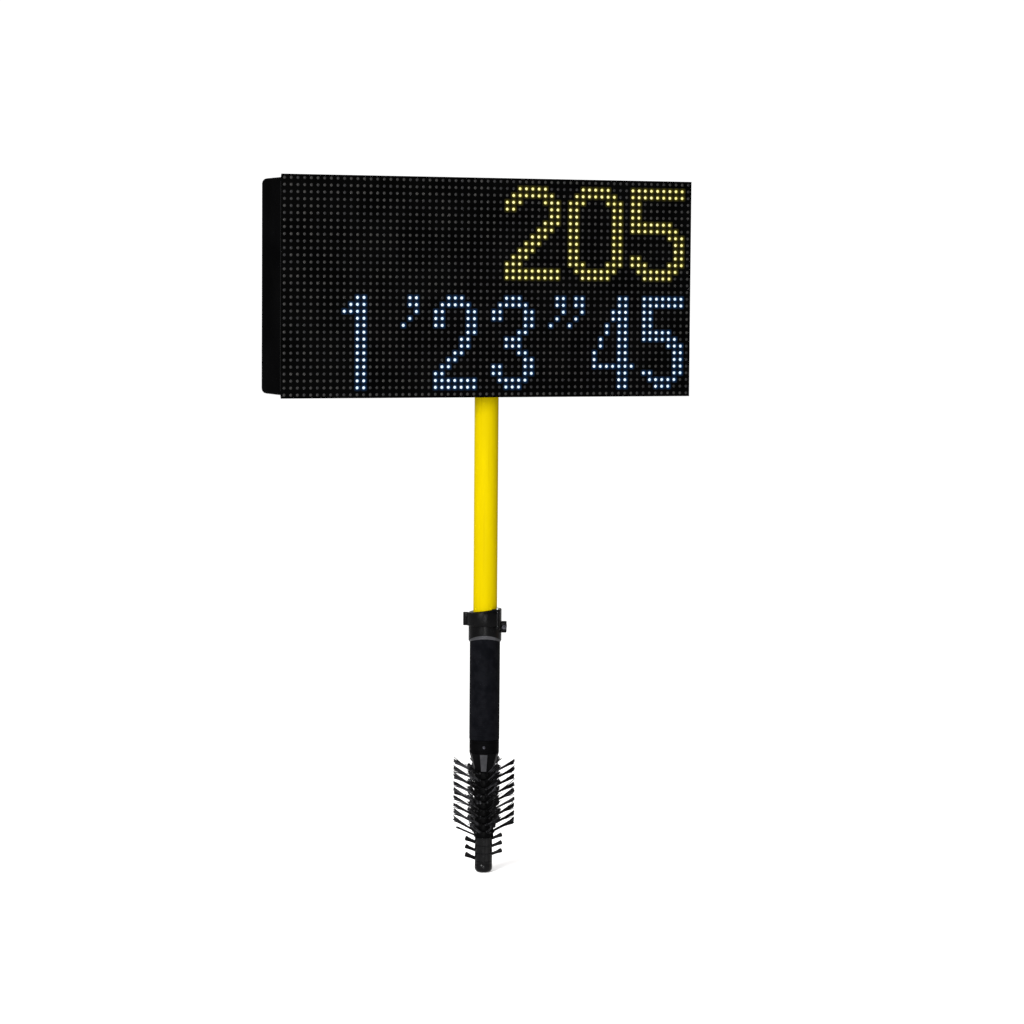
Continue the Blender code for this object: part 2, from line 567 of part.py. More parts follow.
def make_case(plastic, rubber, axis):
    low = Vector((CASE_LEFT, CASE_FRONT, CASE_BOTTOM))
    high = Vector((CASE_RIGHT, CASE_BACK, CASE_TOP))
    wall = Vector((CASE_WALL, CASE_WALL, CASE_WALL))
    shell = block(low, high)
    back_edges = [e for e in shell.edges if all(v.co.y > CASE_BACK - 1e-6 for v in e.verts)]
    side_edges = [e for e in shell.edges if abs((e.verts[0].co - e.verts[1].co).y) > 1e-6]
    rounded = back_edges + side_edges
    bmesh.ops.bevel(shell, geom=rounded, offset=CASE_CORNER, segments=3, profile=0.5, affect="EDGES")
    case = add("case_tray", shell, plastic, axis)
    inside = block(low + wall - Vector((0, CASE_WALL + MM, 0)), high - wall)
    inner_edges = [e for e in inside.edges if all(v.co.y > INNER_BACK - 1e-6 for v in e.verts)]
    inner_edges += [e for e in inside.edges if abs((e.verts[0].co - e.verts[1].co).y) > 1e-6]
    inner_corner = CASE_CORNER - CASE_WALL
    bmesh.ops.bevel(inside, geom=inner_edges, offset=inner_corner, segments=2, profile=0.5, affect="EDGES")
    combine(case, "case_hollow", inside, "DIFFERENCE", axis)

    rim = Vector((0, GASKET_THICK, 0))
    seal_low = Vector((CASE_LEFT, MASK_BACK + GAP, CASE_BOTTOM))
    seal_high = Vector((CASE_RIGHT, MASK_BACK + GAP, CASE_TOP)) + rim
    gasket = add("case_gasket", block(seal_low, seal_high, CASE_CORNER, along=1), rubber, axis)
    skin = Vector((CASE_WALL, 0, CASE_WALL))
    through = Vector((0, MM, 0))
    window = block(seal_low + skin - through, seal_high - skin + through, CASE_CORNER - CASE_WALL, along=1)
    combine(gasket, "gasket_window", window, "DIFFERENCE", axis)
    return case


def make_socket(case, metal, steel, axis):
    """The closed tube that the pole's top end turns in, fixed to the case's floor."""
    flange_low = INNER_FLOOR + GAP
    flange_high = flange_low + SOCKET_FLANGE_THICK
    roof = SOCKET_TOP - SOCKET_WALL
    profile = [(SOCKET_RADIUS, SOCKET_FOOT), (SOCKET_RADIUS, flange_low), (SOCKET_FLANGE, flange_low)]
    profile += [(SOCKET_FLANGE, flange_high), (SOCKET_RADIUS, flange_high), (SOCKET_RADIUS, SOCKET_TOP)]
    profile += [(0, SOCKET_TOP), (0, roof), (SOCKET_BORE, roof), (SOCKET_BORE, SOCKET_FOOT)]
    socket = add("pole_socket", turned(profile, 48), metal, axis)
    clear = block((-SOCKET_FLANGE * 2, -SOCKET_FLANGE * 2, flange_low - MM),
                  (SOCKET_FLANGE * 2, -SOCKET_RADIUS, flange_high + MM))
    combine(socket, "flange_trim", clear, "DIFFERENCE", axis)
    floor_hole = rod(SOCKET_RADIUS + GAP, CASE_BOTTOM - MM, INNER_FLOOR + MM, 48)
    combine(case, "pole_hole", floor_hole, "DIFFERENCE", axis)

    radius = (SOCKET_RADIUS + SOCKET_FLANGE) / 2
    screw_r = COVER_SCREW_RADIUS
    places = [Vector((radius * cos(a), radius * sin(a), 0)) for a in (radians(25), radians(155))]
    drills = [rod(screw_r + GAP, CASE_BOTTOM - MM, flange_high + MM, SMALL_ROUND, at=p) for p in places]
    drill = combine(case, "socket_drill", join(*drills), "DIFFERENCE", axis)
    combine_with(socket, drill, "DIFFERENCE")
    head = CASE_BOTTOM - GAP
    for number, place in enumerate(places, 1):
        profile = [(0, head - SCREW_HEAD), (SCREW_HEAD_RADIUS - MM, head - SCREW_HEAD)]
        profile += [(SCREW_HEAD_RADIUS, head - SCREW_HEAD * 0.6), (SCREW_HEAD_RADIUS, head)]
        profile += [(screw_r, head), (screw_r, flange_high + 2 * MM), (0, flange_high + 2 * MM)]
        add(f"socket_screw_{number}", turned(profile, SMALL_ROUND, at=place), steel, axis)
    return socket


def make_cover(case, plastic, steel, axis):
    """A screwed cover over the opening that the battery and the boards go in through."""
    half = Vector((COVER_OPENING[0] / 2, 0, COVER_OPENING[1] / 2))
    middle = Vector((COVER_MIDDLE[0], CASE_BACK, COVER_MIDDLE[1]))
    lap = Vector((COVER_LAP, 0, COVER_LAP))
    deep = Vector((0, CASE_WALL + MM, 0))
    opening = block(middle - half - deep, middle + half + deep, COVER_CORNER, along=1)
    combine(case, "cover_opening", opening, "DIFFERENCE", axis)
    low = middle - half - lap + Vector((0, GAP, 0))
    high = middle + half + lap + Vector((0, GAP + COVER_THICK, 0))
    cover = add("service_cover", block(low, high, COVER_CORNER, along=1), plastic, axis)
    across = half.x + COVER_LAP / 2
    upward = half.z + COVER_LAP / 2
    places = [middle + Vector((x * across, 0, z * upward)) for x in (-1, 1) for z in (-1, 1)]
    top = GAP + COVER_THICK + GAP
    foot = top - COVER_SCREW_LENGTH
    drills = [rod(COVER_SCREW_RADIUS + GAP, foot, top + MM, SMALL_ROUND, at=p, axis="Y") for p in places]
    drill = combine(cover, "cover_drill", join(*drills), "DIFFERENCE", axis)
    combine_with(case, drill, "DIFFERENCE")
    for number, place in enumerate(places, 1):
        profile = [(0, foot), (COVER_SCREW_RADIUS, foot), (COVER_SCREW_RADIUS, top), (SCREW_HEAD_RADIUS, top)]
        profile += [(SCREW_HEAD_RADIUS, top + SCREW_HEAD * 0.6), (SCREW_HEAD_RADIUS - MM, top + SCREW_HEAD)]
        profile += [(0, top + SCREW_HEAD)]
        add(f"cover_screw_{number}", turned(profile, SMALL_ROUND, at=place, axis="Y"), steel, axis)


def make_knob(case, socket, plastic, axis, knob_axis):
    """A lobed knob whose shaft runs through the case's back and the socket's wall, up to the pole."""
    tip = POLE_RADIUS + GAP
    neck = CASE_BACK + GAP
    at = (0, 0, KNOB_Z)

    def lobes(angle, radius, height):
        if radius < KNOB_RADIUS * 0.8:
            return radius
        return radius * (0.91 + 0.09 * cos(KNOB_LOBES * angle))

    crown = neck + KNOB_THICK
    waist = KNOB_RADIUS * 0.6
    profile = [(0, tip), (KNOB_SHAFT, tip), (KNOB_SHAFT, neck), (waist, neck), (waist, neck + 3 * MM)]
    profile += [(KNOB_RADIUS, neck + 4 * MM), (KNOB_RADIUS, crown - 2 * MM), (KNOB_RADIUS * 0.88, crown)]
    profile += [(0, crown)]
    add("swivel_knob", turned(profile, 40, at=at, axis="Y", shape=lobes), plastic, knob_axis)
    drill = rod(KNOB_SHAFT + SLIDE_GAP, SOCKET_BORE / 2, CASE_BACK + MM, SMALL_ROUND, at=at, axis="Y")
    hole = combine(case, "knob_drill", drill, "DIFFERENCE", axis)
    combine_with(socket, hole, "DIFFERENCE")


def make_button(case, plastic, steel, axis, button_axis):
    bore = BUTTON_RADIUS + GAP + PIN_GAP / 2
    barrel = bore + BEZEL_WALL
    x, z = BUTTON_AT
    hole = rod(barrel + GAP, INNER_BACK - MM, CASE_BACK + MM, 24, at=(x, 0, z), axis="Y")
    combine(case, "button_hole", hole, "DIFFERENCE", axis)
    low = CASE_BACK + GAP
    rim = low + 2 * MM
    inner_end = INNER_BACK - 4 * MM
    edge = barrel + BEZEL_FLANGE
    bezel = [(edge, low), (edge, rim - 2 * GAP), (edge - MM, rim), (bore, rim), (bore, inner_end)]
    bezel += [(barrel, inner_end), (barrel, low)]
    add("button_bezel", turned(bezel, 24, at=(x, 0, z), axis="Y"), steel, axis)
    top = rim + BUTTON_PROUD
    cap = [(0, inner_end), (BUTTON_RADIUS, inner_end), (BUTTON_RADIUS, top - BUTTON_EDGE)]
    cap += [(BUTTON_RADIUS - BUTTON_EDGE, top), (0, top)]
    add("power_button", turned(cap, 24, at=(x, 0, z), axis="Y"), plastic, button_axis)


def port_cap_axis():
    """Where the charging port's cap is hinged: above the port, just behind the case."""
    x, z = PORT_AT
    return Vector((x, CASE_BACK + GAP + PORT_FLANGE + GAP + CAP_BARREL, z + PORT_SIZE[1] / 2 + 4 * MM))


def make_port(case, plastic, rubber, axis, cap_axis):
    """A charging inlet with a flange, two lugs above it, and a flip cap that hangs over it."""
    x, z = PORT_AT
    half = Vector((PORT_SIZE[0] / 2, 0, PORT_SIZE[1] / 2))
    at = Vector((x, 0, z))
    clear = Vector((GAP, 0, GAP))
    inner_side = Vector((0, INNER_BACK - MM, 0))
    outer_side = Vector((0, CASE_BACK + MM, 0))
    through = block(at - half - clear + inner_side, at + half + clear + outer_side)
    combine(case, "port_hole", through, "DIFFERENCE", axis)
    flange_low = CASE_BACK + GAP
    flange_high = flange_low + PORT_FLANGE
    hinge = port_cap_axis()
    edge = Vector((4 * MM, 0, 3 * MM))
    flange = block(at - half - edge + Vector((0, flange_low, 0)),
                   Vector((x + half.x + edge.x, flange_high, hinge.z + CAP_BARREL + MM)), 2 * MM, along=1)
    socket = add("charge_socket", flange, plastic, axis)
    port_foot = Vector((0, CASE_BACK - PORT_DEPTH, 0))
    body = block(at - half + port_foot, at + half + Vector((0, flange_low + PORT_FLANGE / 3, 0)))
    lug_y = hinge.y + CAP_BARREL
    lugs = []
    for side in (-1, 1):
        near = x + side * (half.x - 0.5 * MM)
        far = x + side * (half.x + 2.5 * MM)
        lugs.append(block((min(near, far), flange_high - 0.5 * MM, hinge.z - CAP_BARREL),
                          (max(near, far), lug_y, hinge.z + CAP_BARREL)))
    combine(socket, "port_body", join(body, *lugs), "UNION", axis)
    pin_reach = half.x + 2 * MM
    along_x = Matrix.Rotation(pi / 2, 3, "Y")

    def across(bm):
        bmesh.ops.rotate(bm, cent=(0, 0, 0), matrix=along_x, verts=bm.verts)
        bmesh.ops.translate(bm, vec=hinge, verts=bm.verts)
        return bm

    pin_drill = across(rod(CAP_PIN + PIN_GAP, -pin_reach - 2 * MM, pin_reach + 2 * MM, 12))
    combine(socket, "cap_pin_drill", pin_drill, "DIFFERENCE", axis)
    mouth = block(at - half * 0.8 + port_foot + Vector((0, 2 * MM, 0)),
                  at + half * 0.8 + Vector((0, flange_high + MM, 0)), 2 * MM, along=1)
    combine(socket, "port_mouth", mouth, "DIFFERENCE", axis)

    wide = half.x - 0.5 * MM - GAP
    barrel = [(0, -pin_reach), (CAP_PIN, -pin_reach), (CAP_PIN, -wide), (CAP_BARREL - 0.1 * MM, -wide)]
    barrel += [(CAP_BARREL - 0.1 * MM, wide), (CAP_PIN, wide), (CAP_PIN, pin_reach), (0, pin_reach)]
    cap = add("charge_cap", across(turned(barrel, 16)), rubber, cap_axis)
    lid_y = flange_high + GAP
    lid = block((x - wide, lid_y, z - half.z - MM), (x + wide, lid_y + CAP_THICK, hinge.z - GAP), MM, along=1)
    combine(cap, "cap_lid", lid, "UNION", cap_axis)


def make_electronics(plastic, metal, green, cable, axis):
    """Battery in its cradle on the left, control board above it, converter on the right."""
    left = CASE_LEFT + CASE_WALL + SIDE_MARGIN
    back = INNER_BACK - 4 * MM
    floor = INNER_FLOOR + GAP
    low = Vector((left, back - BATTERY[1], floor + CRADLE_THICK + GAP))
    high = low + Vector(BATTERY)
    add("battery_pack", block(low, high, BATTERY_CORNER), plastic, axis)
    side = CRADLE_THICK + GAP
    outline = [(low.x - side, floor), (high.x + side, floor), (high.x + side, floor + CRADLE_LIP)]
    outline += [(high.x + GAP, floor + CRADLE_LIP), (high.x + GAP, floor + CRADLE_THICK)]
    outline += [(low.x - GAP, floor + CRADLE_THICK), (low.x - GAP, floor + CRADLE_LIP)]
    outline += [(low.x - side, floor + CRADLE_LIP)]
    add("battery_cradle", upright(outline, low.y, high.y), metal, axis)

    board_low = Vector((left, back - BOARD_SIZE[1], high.z + 12 * MM))
    board_high = board_low + Vector(BOARD_SIZE)
    add("controller_board", block(board_low, board_high), green, axis)
    radio_y = board_low.y - GAP - RADIO_SIZE[1]
    radio_low = Vector((board_low.x + 12 * MM, radio_y, board_high.z - RADIO_SIZE[2] - 8 * MM))
    add("radio_module", block(radio_low, radio_low + Vector(RADIO_SIZE), MM), metal, axis)

    right = CASE_RIGHT - CASE_WALL - SIDE_MARGIN
    foot = floor + 18 * MM
    root = INNER_BACK - GAP
    fin_pitch = CONVERTER[0] / CONVERTER_FINS
    base_y = root - CONVERTER[1] * 0.6
    outline = [(right, root), (right - CONVERTER[0], root)]
    for fin in range(CONVERTER_FINS):
        x = right - CONVERTER[0] + fin * fin_pitch
        tip_y = root - CONVERTER[1]
        outline += [(x, tip_y), (x + fin_pitch * 0.45, tip_y)]
        if fin < CONVERTER_FINS - 1:
            outline += [(x + fin_pitch * 0.45, base_y), (x + fin_pitch, base_y)]
    outline += [(right - fin_pitch * 0.55, base_y), (right, base_y)]
    add("power_converter", plate(outline, foot, foot + CONVERTER[2]), metal, axis)

    over = SOCKET_TOP + 12 * MM
    route_y = (BOARD_BACK + back - BATTERY[1]) / 2 + 8 * MM
    start = Vector((high.x - 14 * MM, (low.y + high.y) / 2, high.z + 2 * GAP))
    stop = Vector((right - CONVERTER[0] / 2, root - CONVERTER[1] * 0.3, foot + CONVERTER[2] + 2 * GAP))
    lead = Vector((0, 0, 2 * HARNESS_RADIUS))
    route = [start, start + lead, start + 2 * lead, Vector((high.x + 16 * MM, route_y, over - 6 * MM))]
    route += [Vector((way * SOCKET_RADIUS, route_y + 6 * MM, over)) for way in (-1, 1)]
    route += [Vector((stop.x - 34 * MM, stop.y - 6 * MM, over - 12 * MM)), stop + 2 * lead, stop + lead, stop]
    cable_along("power_harness", smooth_route(route, 4), HARNESS_RADIUS, cable, axis)


def upright(outline, near, far):
    """A flat outline in X and Z, extruded along Y."""
    bm = plate([(x, z) for x, z in outline], -far, -near)
    bmesh.ops.rotate(bm, cent=(0, 0, 0), matrix=Matrix.Rotation(pi / 2, 3, "X"), verts=bm.verts)
    return bm


def smooth_route(points, parts):
    """Points on a smooth curve through the given ones."""
    ends = [points[0]] + points + [points[-1]]
    route = []
    for a, b, c, d in zip(ends, ends[1:], ends[2:], ends[3:]):
        for step in range(parts):
            t = step / parts
            route.append(0.5 * (2 * b + (c - a) * t + (2 * a - 5 * b + 4 * c - d) * t * t
                                + (3 * b - a - 3 * c + d) * t * t * t))
    return route + [points[-1]]


def cable_along(name, route, radius, material, axis):
    curve = bpy.data.curves.new(name, "CURVE")
    curve.dimensions = "3D"
    curve.bevel_depth = radius
    curve.bevel_resolution = 2
    curve.use_fill_caps = True
    spline = curve.splines.new("POLY")
    spline.points.add(len(route) - 1)
    shift = world_of(axis)
    for point, place in zip(spline.points, route):
        point.co = (*(place - shift), 1)
    curve.materials.append(material)
    item = bpy.data.objects.new(name, curve)
    item.parent = axis
    bpy.context.scene.collection.objects.link(item)


# ---------------------------------------------------------------- the whole
def main():
    clear_scene()
    black_plastic = finish("black_plastic", (0.02, 0.02, 0.022), 0.45)
    mask_plastic = finish("mask_plastic", (0.012, 0.012, 0.013), 0.7)
    board_plastic = finish("board_plastic", (0.03, 0.03, 0.03), 0.5)
    bristle = finish("bristle", (0.025, 0.027, 0.03), 0.5)
    case_plastic = finish("case_plastic", (0.015, 0.015, 0.016), 0.4)
    steel = finish("steel", (0.6, 0.6, 0.62), 0.3, 1.0)
    aluminium = finish("aluminium", (0.5, 0.5, 0.52), 0.35, 1.0)
    rubber = finish("rubber", (0.03, 0.03, 0.032), 0.8)
    yellow = finish("yellow_paint", (0.9, 0.72, 0.0), 0.35)
    green = finish("board_green", (0.02, 0.16, 0.06), 0.5)
    cable = finish("cable_red", (0.3, 0.02, 0.02), 0.5)

    pole_axis = axis_empty("pole_axis", (0, 0, POLE_FOOT))
    display_axis = axis_empty("display_axis", (0, 0, DISPLAY_BOTTOM), pole_axis)
    lever_axis = axis_empty("lever_axis", (PIN_X, PIN_Y, LEVER_BOTTOM))
    knob_axis = axis_empty("knob_axis", (0, CASE_BACK, KNOB_Z), display_axis)
    button_axis = axis_empty("button_axis", (BUTTON_AT[0], CASE_BACK, BUTTON_AT[1]), display_axis)
    cap_axis = axis_empty("cap_axis", port_cap_axis(), display_axis)

    make_brush(black_plastic, bristle, steel)
    make_cone(black_plastic)
    make_sleeve(aluminium, rubber, black_plastic, steel)
    make_collar(black_plastic, steel)
    make_lever(black_plastic, lever_axis)
    make_pole(yellow, black_plastic, pole_axis)
    make_modules(mask_plastic, board_plastic, aluminium, display_axis)
    case = make_case(case_plastic, rubber, display_axis)
    socket = make_socket(case, aluminium, steel, display_axis)
    make_cover(case, case_plastic, steel, display_axis)
    make_knob(case, socket, black_plastic, display_axis, knob_axis)
    make_button(case, black_plastic, steel, display_axis, button_axis)
    make_port(case, black_plastic, rubber, display_axis, cap_axis)
    make_electronics(black_plastic, aluminium, green, cable, display_axis)


main()
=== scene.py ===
"""Looks of the pole-mounted LED display: lamps, mask wells, bristles, clamp, and every finish."""
import random
from math import atan2, cos, pi, radians, sin, tau

import bmesh
import bpy
from mathutils import Matrix, Vector


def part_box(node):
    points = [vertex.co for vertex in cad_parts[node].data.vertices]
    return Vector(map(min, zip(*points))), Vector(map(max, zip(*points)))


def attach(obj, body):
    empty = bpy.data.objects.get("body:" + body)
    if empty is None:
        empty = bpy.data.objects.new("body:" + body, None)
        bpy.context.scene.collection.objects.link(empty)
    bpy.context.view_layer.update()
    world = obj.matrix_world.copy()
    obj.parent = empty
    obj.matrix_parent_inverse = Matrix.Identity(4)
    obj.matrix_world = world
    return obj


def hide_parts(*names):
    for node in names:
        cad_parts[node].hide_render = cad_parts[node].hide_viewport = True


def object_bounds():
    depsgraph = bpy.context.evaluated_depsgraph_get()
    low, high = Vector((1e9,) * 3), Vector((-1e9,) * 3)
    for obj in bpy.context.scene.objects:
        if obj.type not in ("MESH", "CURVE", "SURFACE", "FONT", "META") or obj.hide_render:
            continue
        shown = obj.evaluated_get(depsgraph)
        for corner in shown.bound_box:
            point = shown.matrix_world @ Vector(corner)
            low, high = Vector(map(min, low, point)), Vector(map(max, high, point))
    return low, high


MM = 0.001
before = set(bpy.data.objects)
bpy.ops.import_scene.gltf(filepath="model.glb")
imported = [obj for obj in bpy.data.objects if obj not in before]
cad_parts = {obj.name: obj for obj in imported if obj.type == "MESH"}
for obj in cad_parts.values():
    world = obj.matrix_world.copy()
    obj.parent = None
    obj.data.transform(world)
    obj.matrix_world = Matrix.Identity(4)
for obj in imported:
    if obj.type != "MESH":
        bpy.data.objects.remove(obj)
cad_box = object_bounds()


# ---------------- node helpers
class Finish:
    """A Principled material built up from a few procedural layers in object space."""

    def __init__(self, name, colour, roughness, metallic=0.0, specular=0.5):
        self.material = bpy.data.materials.new(name)
        self.material.use_nodes = True
        self.tree = self.material.node_tree
        self.nodes = self.tree.nodes
        self.shader = self.nodes["Principled BSDF"]
        self.roughness = roughness
        self.set("Base Color", (*colour, 1.0))
        self.set("Roughness", roughness)
        self.set("Metallic", metallic)
        self.set("Specular IOR Level", specular)
        self.place = self.nodes.new("ShaderNodeTexCoord").outputs["Object"]
        self.normal = None

    def set(self, socket, value):
        self.shader.inputs[socket].default_value = value

    def link(self, output, target):
        self.tree.links.new(output, target)

    def stretched(self, scale):
        """Coordinates multiplied per axis, so a pattern runs along one of them."""
        mapping = self.nodes.new("ShaderNodeMapping")
        mapping.inputs["Scale"].default_value = scale
        self.link(self.place, mapping.inputs["Vector"])
        return mapping.outputs["Vector"]

    def noise(self, size, detail=3.0, stretch=(1, 1, 1), distortion=0.0):
        """Noise whose features are about size metres across."""
        node = self.nodes.new("ShaderNodeTexNoise")
        node.inputs["Scale"].default_value = 1 / size
        node.inputs["Detail"].default_value = detail
        node.inputs["Distortion"].default_value = distortion
        self.link(self.stretched(stretch), node.inputs["Vector"])
        return node.outputs["Fac"]

    def cells(self, size, feature="F1"):
        node = self.nodes.new("ShaderNodeTexVoronoi")
        node.feature = feature
        node.inputs["Scale"].default_value = 1 / size
        self.link(self.stretched((1, 1, 1)), node.inputs["Vector"])
        return node.outputs["Distance"]

    def bands(self, size):
        """Even rings across Z, size metres apart."""
        node = self.nodes.new("ShaderNodeTexWave")
        node.bands_direction = "Z"
        node.inputs["Scale"].default_value = tau / (20 * size)
        node.inputs["Detail"].default_value = 1.0
        self.link(self.place, node.inputs["Vector"])
        return node.outputs["Fac"]

    def remap(self, source, low, high, out_low=0.0, out_high=1.0):
        node = self.nodes.new("ShaderNodeMapRange")
        ends = {"From Min": low, "From Max": high, "To Min": out_low, "To Max": out_high}
        for socket, value in ends.items():
            node.inputs[socket].default_value = value
        self.link(source, node.inputs["Value"])
        return node.outputs["Result"]

    def blend(self, source, low, high, colour):
        """A node whose input 6 blends into a colour where the source is high; output 2 is the blend."""
        node = self.nodes.new("ShaderNodeMix")
        node.data_type = "RGBA"
        self.link(self.remap(source, low, high), node.inputs["Factor"])
        node.inputs[7].default_value = (*colour, 1.0)
        return node

    def tint(self, source, colour, low=0.4, high=0.6):
        """Blend the base colour towards another where the source is high."""
        node = self.blend(source, low, high, colour)
        before = self.shader.inputs["Base Color"]
        if before.is_linked:
            self.link(before.links[0].from_socket, node.inputs[6])
        else:
            node.inputs[6].default_value = before.default_value
        self.link(node.outputs[2], before)
        return self

    def vary_roughness(self, source, spread, low=0.35, high=0.65):
        base = self.roughness
        varied = self.remap(source, low, high, base - spread, base + spread)
        self.link(varied, self.shader.inputs["Roughness"])
        return self

    def bump(self, source, depth, strength=1.0):
        """Raise the surface by depth metres where the source is 1."""
        node = self.nodes.new("ShaderNodeBump")
        node.inputs["Strength"].default_value = strength
        node.inputs["Distance"].default_value = depth
        self.link(source, node.inputs["Height"])
        if self.normal:
            self.link(self.normal, node.inputs["Normal"])
        self.normal = node.outputs["Normal"]
        self.link(self.normal, self.shader.inputs["Normal"])
        return self

    def worn_edges(self, colour):
        """Lighter, rubbed corners."""
        geometry = self.nodes.new("ShaderNodeNewGeometry")
        return self.tint(geometry.outputs["Pointiness"], colour, 0.56, 0.66)

    def glow(self, colour, strength):
        self.set("Emission Color", (*colour, 1.0))
        self.set("Emission Strength", strength)
        return self


# ---------------- finishes
def grey(tone, blue=1.0):
    return tone, tone, tone * blue


def grained(name, colour, roughness, second, patches, patina, relief, metallic=0.0, specular=0.5):
    """Patches of a second colour, uneven roughness and a fine relief.

    Each layer is given by what its noise takes; the last two end with how much they change.
    """
    f = Finish(name, colour, roughness, metallic, specular)
    f.tint(f.noise(*patches), second)
    if patina:
        f.vary_roughness(f.noise(*patina[:-1]), patina[-1])
    f.bump(f.noise(*relief[:-1]), relief[-1])
    return f.material


def powder_coat(name, tone, roughness, specular):
    f = Finish(name, grey(tone, 1.1), roughness, specular=specular)
    f.tint(f.noise(0.09, 4), (tone * 1.7, tone * 1.7, tone * 1.85))
    f.vary_roughness(f.noise(0.03, 5), 0.07)
    f.bump(f.noise(0.0011, 2), 0.00007).bump(f.cells(0.0022), 0.00003)
    return f.material


# painted light: the mask round a lit lamp is given its own emission, standing in for the lamp's spilled light
def mask_rim(name, colour, strength):
    """The mask right round a lamp that is on, which its light spills over."""
    f = Finish(name, grey(0.001), 0.7, specular=0.003)
    f.bump(f.noise(0.0005, 2), 0.00003)
    return f.glow(colour, strength).material


def mask_halo(name, colour):
    """The flat mask beside a lit lamp: its glow fades with the distance from the lamp."""
    f = Finish(name, grey(0.001), 0.72, specular=0.003)
    f.bump(f.noise(0.0005, 2), 0.00003)
    middle = (cad_box[0] + cad_box[1]) / 2
    mapping = f.nodes.new("ShaderNodeMapping")
    mapping.vector_type = "TEXTURE"
    mapping.inputs["Location"].default_value = (middle.x + LAMP_PITCH / 2, 0, DISPLAY_MIDDLE + LAMP_PITCH / 2)
    mapping.inputs["Rotation"].default_value = (pi / 2, 0, 0)
    f.link(f.place, mapping.inputs["Vector"])
    lattice = f.nodes.new("ShaderNodeTexVoronoi")
    lattice.voronoi_dimensions = "2D"
    lattice.inputs["Scale"].default_value = 1 / LAMP_PITCH
    lattice.inputs["Randomness"].default_value = 0
    f.link(mapping.outputs["Vector"], lattice.inputs["Vector"])
    f.set("Emission Color", (*colour, 1.0))
    f.link(f.remap(lattice.outputs["Distance"], 0.26, 0.66, 1.0, 0.0), f.shader.inputs["Emission Strength"])
    return f.material


def lamp_on(name, centre, edge, strength):
    """A lit lens, in patches of two slightly different colours."""
    f = Finish(name, grey(0.05), 0.4, specular=0.1)
    f.tint(f.noise(0.0006, 1), tuple(0.08 * c for c in centre))
    mix = f.blend(f.noise(0.011, 2), 0.35, 0.65, edge)
    mix.inputs[6].default_value = (*centre, 1.0)
    f.link(mix.outputs[2], f.shader.inputs["Emission Color"])
    f.set("Emission Strength", strength)
    return f.material


def pole_yellow():
    f = Finish("pole_yellow", (0.245, 0.187, 0.0), 0.36, specular=0.003)
    f.tint(f.noise(0.03, 4, stretch=(1, 1, 0.25)), (0.233, 0.177, 0.0001))
    f.tint(f.noise(0.0022, 3, stretch=(1, 1, 0.02)), (0.214, 0.159, 0.0002), 0.62, 0.75)
    f.vary_roughness(f.noise(0.004, 5, stretch=(1, 1, 0.06)), 0.09)
    f.bump(f.noise(0.0016, 2, stretch=(1, 1, 0.03)), 0.00002).bump(f.noise(0.0007, 2), 0.00001)
    return f.material


def grip_rubber():
    f = Finish("grip_rubber", (0.001, 0.0011, 0.0016), 0.6, specular=0.008)
    f.tint(f.noise(0.012, 5), (0.0021, 0.0022, 0.0029))
    f.tint(f.noise(0.006, 4, stretch=(1, 1, 0.2)), (0.0008, 0.0008, 0.001), 0.6, 0.75)
    f.vary_roughness(f.noise(0.004, 5), 0.08)
    f.bump(f.cells(0.0011), 0.00012, 0.8).bump(f.noise(0.0004, 3), 0.00004)
    f.bump(f.bands(0.0024), 0.00012, 0.7)
    return f.material


def moulded_black(name, tone, roughness, specular=0.02):
    f = Finish(name, grey(tone, 1.08), roughness, specular=specular)
    f.tint(f.noise(0.016, 4), (tone * 1.6, tone * 1.6, tone * 1.75))
    f.vary_roughness(f.noise(0.005, 5), 0.08)
    f.bump(f.noise(0.0006, 3), 0.00004).bump(f.noise(0.004, 3), 0.00005)
    f.worn_edges((tone * 4, tone * 4, tone * 4.2))
    return f.material


def monofilament(name, tone):
    return grained(name, grey(tone, 1.1), 0.42, (tone * 2.4, tone * 2.4, tone * 2.6), (0.006, 3),
                   (0.002, 3, 0.1), (0.0005, 2, (1, 1, 0.5), 0.00003), specular=0.03)


def solder_mask():
    f = Finish("solder_mask", (0.012, 0.11, 0.035), 0.35, specular=0.5)
    f.tint(f.cells(0.004, feature="DISTANCE_TO_EDGE"), (0.02, 0.16, 0.06), 0.04, 0.08)
    f.vary_roughness(f.noise(0.003, 4), 0.08)
    f.bump(f.cells(0.004, feature="DISTANCE_TO_EDGE"), 0.00003)
    return f.material


def studio_floor():
    f = Finish("studio_floor", grey(0.94), 0.9, specular=0.0)
    f.tint(f.noise(1.5, 2), grey(0.935))
    return f.material


